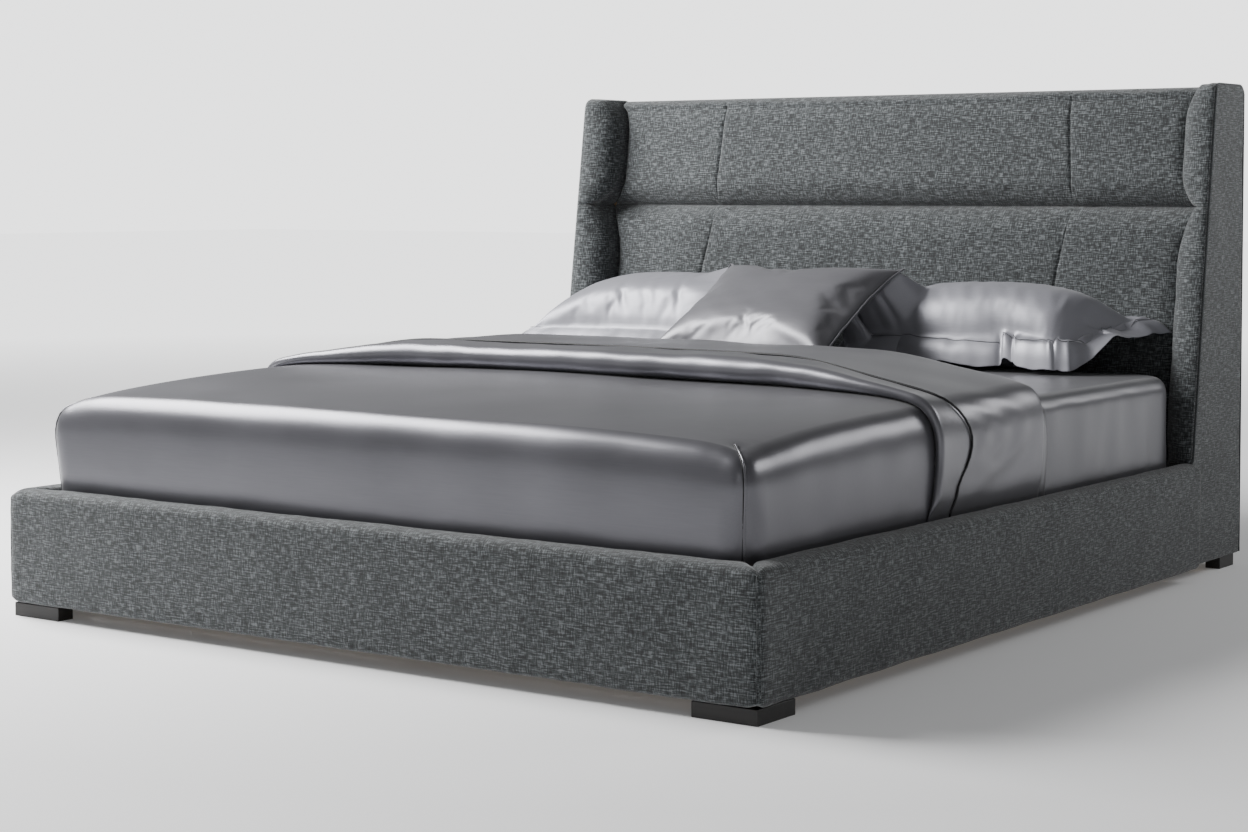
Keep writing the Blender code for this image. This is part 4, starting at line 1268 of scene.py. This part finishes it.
def build_sham(name, centre, body, thickness, tilt, slant, flange, droop, seed):
    """A pillow in a case with a flat flange all round its sewn seam."""
    width, depth = body
    face, rear, n, m = stuffed(name + "_case", width, depth, thickness * 0.80, 0.0105, 5.0, 0.032, 0.05, seed)
    fatten(face, rear, thickness)
    for side in (face, rear):
        end = smooth(side[:, 0] / (width / 2), 0.45, 1.0)
        side[:, 0] -= slant * end * np.clip(0.5 - side[:, 1] / depth, 0, 1)
    ring = border_of(n, m)
    seam = face[ring]
    turn = np.array(Matrix.Rotation(math.radians(tilt), 3, "X"))
    half_w, half_d = np.abs(seam[:, 0]).max(), np.abs(seam[:, 1]).max()
    beyond = np.where(seam[:, 1] > 0, 0.35, 1.0) * flange
    wide_x, wide_y = seam[:, 0] * (half_w + flange) / half_w, seam[:, 1] * (half_d + beyond) / half_d
    wide = np.stack([wide_x, wide_y, seam[:, 2] * 0], axis=1)
    away = wide - seam
    length = np.linalg.norm(away, axis=1)
    away /= length[:, None]
    arc_place = np.cumsum(np.linalg.norm(np.roll(seam, -1, axis=0) - seam, axis=1))
    chance = np.random.RandomState(seed + 5)
    gather = np.zeros(len(ring))
    for wave in (0.043, 0.071, 0.11, 0.17, 0.26):
        gather += np.sin(arc_place * 2 * math.pi / wave + chance.uniform(0, 6.3)) * (wave / 0.11) ** 0.6
    seam_w = seam @ turn.T + centre
    away_w = away @ turn.T
    up = turn @ np.array([0, 0, 1.0])
    bend = np.radians(droop(seam))
    down = np.array([0, 0, -1.0])
    tops, lows = [], []
    steps = 6
    place = seam_w.copy()
    for k in range(1, steps + 1):
        t = k / steps
        angle = bend * min(1.0, 0.45 + 0.75 * t)
        move = away_w * np.cos(angle)[:, None] + down[None, :] * np.sin(angle)[:, None]
        place = place + move * (length / steps)[:, None]
        wave = 0.0021 * gather * t**1.1
        shown = place + up[None, :] * wave[:, None]
        shown[:, 2] = np.maximum(shown[:, 2], CLEAR_TOP + 0.0012 * (1 + np.sin(arc_place * 40)))
        place[:, 2] = np.maximum(place[:, 2], CLEAR_TOP)
        tops.append(shown + up * 0.0011)
        lows.append(shown - up * 0.0009)
    face_w = face @ turn.T + centre
    rear_w = rear @ turn.T + centre
    i, j = np.indices((n, m))
    groove = np.exp(-np.minimum.reduce([j, m - 1 - j, i, n - 1 - i]) / 1.2).ravel()
    face_w = face_w + up * (0.0011 * groove)[:, None]
    rear_w = rear_w - up * (0.0009 * groove)[:, None]
    points = [face_w, rear_w] + tops + lows
    faces = quads(n, m)
    faces += [tuple(i + n * m for i in reversed(f)) for f in faces]
    count = len(ring)
    base = 2 * n * m
    previous_top = list(ring)
    previous_low = [i + n * m for i in ring]
    for k in range(steps):
        now_top = list(range(base + k * count, base + (k + 1) * count))
        now_low = list(range(base + (steps + k) * count, base + (steps + k + 1) * count))
        for i in range(count):
            j = (i + 1) % count
            faces.append((previous_top[i], now_top[i], now_top[j], previous_top[j]))
            faces.append((previous_low[i], previous_low[j], now_low[j], now_low[i]))
        previous_top, previous_low = now_top, now_low
    for i in range(count):
        j = (i + 1) % count
        faces.append((previous_top[i], previous_low[i], previous_low[j], previous_top[j]))
    sham = mesh_object(name, np.concatenate(points), faces)
    # the thread along the seam, in a dark finish that also paints the groove's shade
    thread = tube(name + "_stitching", seam_w + up * 0.0018, 0.0010, cyclic=True, sides=1)
    return sham, thread


def settle(obj, floor=CLEAR_TOP, soft=0.02):
    """Flattens what would sink below the bed's top."""
    p = coords(obj)
    under = floor + soft - p[:, 2]
    p[:, 2] = np.where(under > 0, floor + soft * np.exp(-under / soft), p[:, 2])
    set_coords(obj, p)


def build_pillows(cushions):
    """The two shams, with the throw cushion in front. They keep out of the given cushions and of the throw."""

    def droop_right(local):
        front = smooth(-local[:, 1], 0.02, 0.12)
        end = smooth(np.abs(local[:, 0]), 0.28, 0.39)
        return np.maximum(8 + 72 * front, 50 * end)

    def droop_left(local):
        front = smooth(-local[:, 1], 0.02, 0.15)
        return 10 + 26 * front

    throw = build_throw()
    blocked = [tree_of(throw)] + cushions
    left = dict(centre=(-0.480, 0.785, 0.640), body=(0.82, 0.38), tilt=12, slant=0.0, flange=0.062)
    right = dict(centre=(0.462, 0.870, 0.636), body=(0.82, 0.29), tilt=13, slant=0.13, flange=0.068)
    left.update(thickness=0.235, droop=droop_left, seed=101)
    right.update(thickness=0.235, droop=droop_right, seed=111)
    for name, args in (("pillow_left", left), ("pillow_right", right)):
        sham, thread = build_sham(name + "_sham", **args)
        settle(sham)
        keep_out(sham, blocked, 0.002)
        padded_piece(sham, name, PILLOW, [name])
        finish_piece(thread, name, STITCH_AND_GROOVE_SHADE)


def build_throw():
    """The square throw cushion, leaning back on the shams, with a welt round its seam."""
    face, rear, n, m = stuffed("throw_case", 0.575, 0.455, 0.115, 0.0095, 5.0, 0.030, 0.018, 121)
    fatten(face, rear, 0.135)
    size = np.abs(face[:, :2]).max(axis=0)
    for side in (face, rear):
        side[:, 0] *= 0.292 / size[0]
        side[:, 1] *= 0.228 / size[1]
    points, faces, _ = sewn(face, rear, n, m)
    turn = Matrix.Rotation(math.radians(-3), 3, "Z") @ Matrix.Rotation(math.radians(30.5), 3, "X")
    points = points @ np.array(turn.to_3x3()).T + np.array((-0.055, 0.585, 0.675))
    throw = mesh_object("throw_cushion", points, faces)
    settle(throw, CLEAR_TOP, 0.015)
    seam = coords(throw)[border_of(n, m)]
    padded_piece(throw, "throw_pillow", THROW, ["throw_pillow"])
    middle = seam.mean(axis=0)
    path = [s + (s - middle) / np.linalg.norm(s - middle) * 0.0012 for s in seam]
    edge = tube("throw_welt", path, 0.0028, cyclic=True)
    finish_piece(edge, "throw_pillow", THROW)
    return throw


build_rails()
build_wings()
build_centre_cushions()
build_seam_strip()
build_head_back()
build_mattress()
build_fitted_sheet()
build_duvet()
build_turnback()
blockers = ("head_cushion_lower", "wing_cushion_lower_left", "wing_cushion_lower_right")
build_pillows([tree_of(bpy.data.objects[name]) for name in blockers])


# ---------------------------------------------------------------- floor, light and camera

floor_mesh = bpy.data.meshes.new("floor")
floor_mesh.from_pydata([(-40, -40, 0), (40, -40, 0), (40, 40, 0), (-40, 40, 0)], [], [(0, 1, 2, 3)])
floor = link("floor", floor_mesh)
floor_finish = Finish("floor_paint", (0.88, 0.88, 0.885), 0.7, Emission_Color=(0.96, 0.965, 0.97, 1))
away = floor_finish.node("ShaderNodeVectorMath", operation="LENGTH")
floor_finish.join(floor_finish.node("ShaderNodeTexCoord").outputs["Object"], away.inputs[0])
far_off = floor_finish.maths("MULTIPLY", floor_finish.maths("SUBTRACT", away.outputs["Value"], 2.2), 1 / 9.0)
far_off = floor_finish.maths("MINIMUM", floor_finish.maths("MAXIMUM", far_off, 0.0), 1.0)
glow = floor_finish.maths("ADD", floor_finish.maths("MULTIPLY", far_off, 2.15), 0.08)
floor_finish.join(glow, floor_finish.shader.inputs["Emission Strength"])
floor.data.materials.append(floor_finish.material)

world = bpy.data.worlds.new("studio")
bpy.context.scene.world = world
world.use_nodes = True
air = world.node_tree
dome = air.nodes["Background"]
dome.inputs["Color"].default_value = (0.93, 0.94, 0.95, 1)
dome.inputs["Strength"].default_value = 0.19
backdrop = air.nodes.new("ShaderNodeBackground")
backdrop.inputs["Color"].default_value = (0.96, 0.965, 0.97, 1)
backdrop.inputs["Strength"].default_value = 2.6
seen = air.nodes.new("ShaderNodeLightPath")
either = air.nodes.new("ShaderNodeMixShader")
air.links.new(seen.outputs["Is Camera Ray"], either.inputs["Fac"])
air.links.new(dome.outputs["Background"], either.inputs[1])
air.links.new(backdrop.outputs["Background"], either.inputs[2])
air.links.new(either.outputs["Shader"], air.nodes["World Output"].inputs["Surface"])


def softbox(name, place, target, size, power):
    """A rectangular area light at place, facing target."""
    data = bpy.data.lights.new(name, "AREA")
    data.shape = "RECTANGLE"
    data.size, data.size_y = size
    data.energy = power
    item = bpy.data.objects.new(name, data)
    item.location = place
    item.rotation_mode = "QUATERNION"
    item.rotation_quaternion = (Vector(target) - Vector(place)).to_track_quat("-Z", "Y")
    bpy.context.scene.collection.objects.link(item)


softbox("key_light", (-3.0, -1.2, 3.1), (0.0, 0.3, 0.5), (2.6, 2.0), 520)
softbox("rim_light", (3.4, 4.2, 2.7), (0.9, 0.0, 0.4), (2.4, 1.6), 75)
softbox("fill_light", (3.2, -5.4, 2.4), (0.0, 0.0, 0.4), (2.5, 2.0), 14)

camera_data = bpy.data.cameras.new("camera")
camera_data.sensor_width = 36
camera_data.lens = 70.70
camera_data.shift_y = -0.0925
camera_data.clip_end = 100
camera = bpy.data.objects.new("camera", camera_data)
bpy.context.scene.collection.objects.link(camera)
camera.location = (3.4673, -5.0426, 1.0027)
camera.rotation_euler = (math.radians(90 - 2.6), 0, math.radians(35.549))
bpy.context.scene.camera = camera
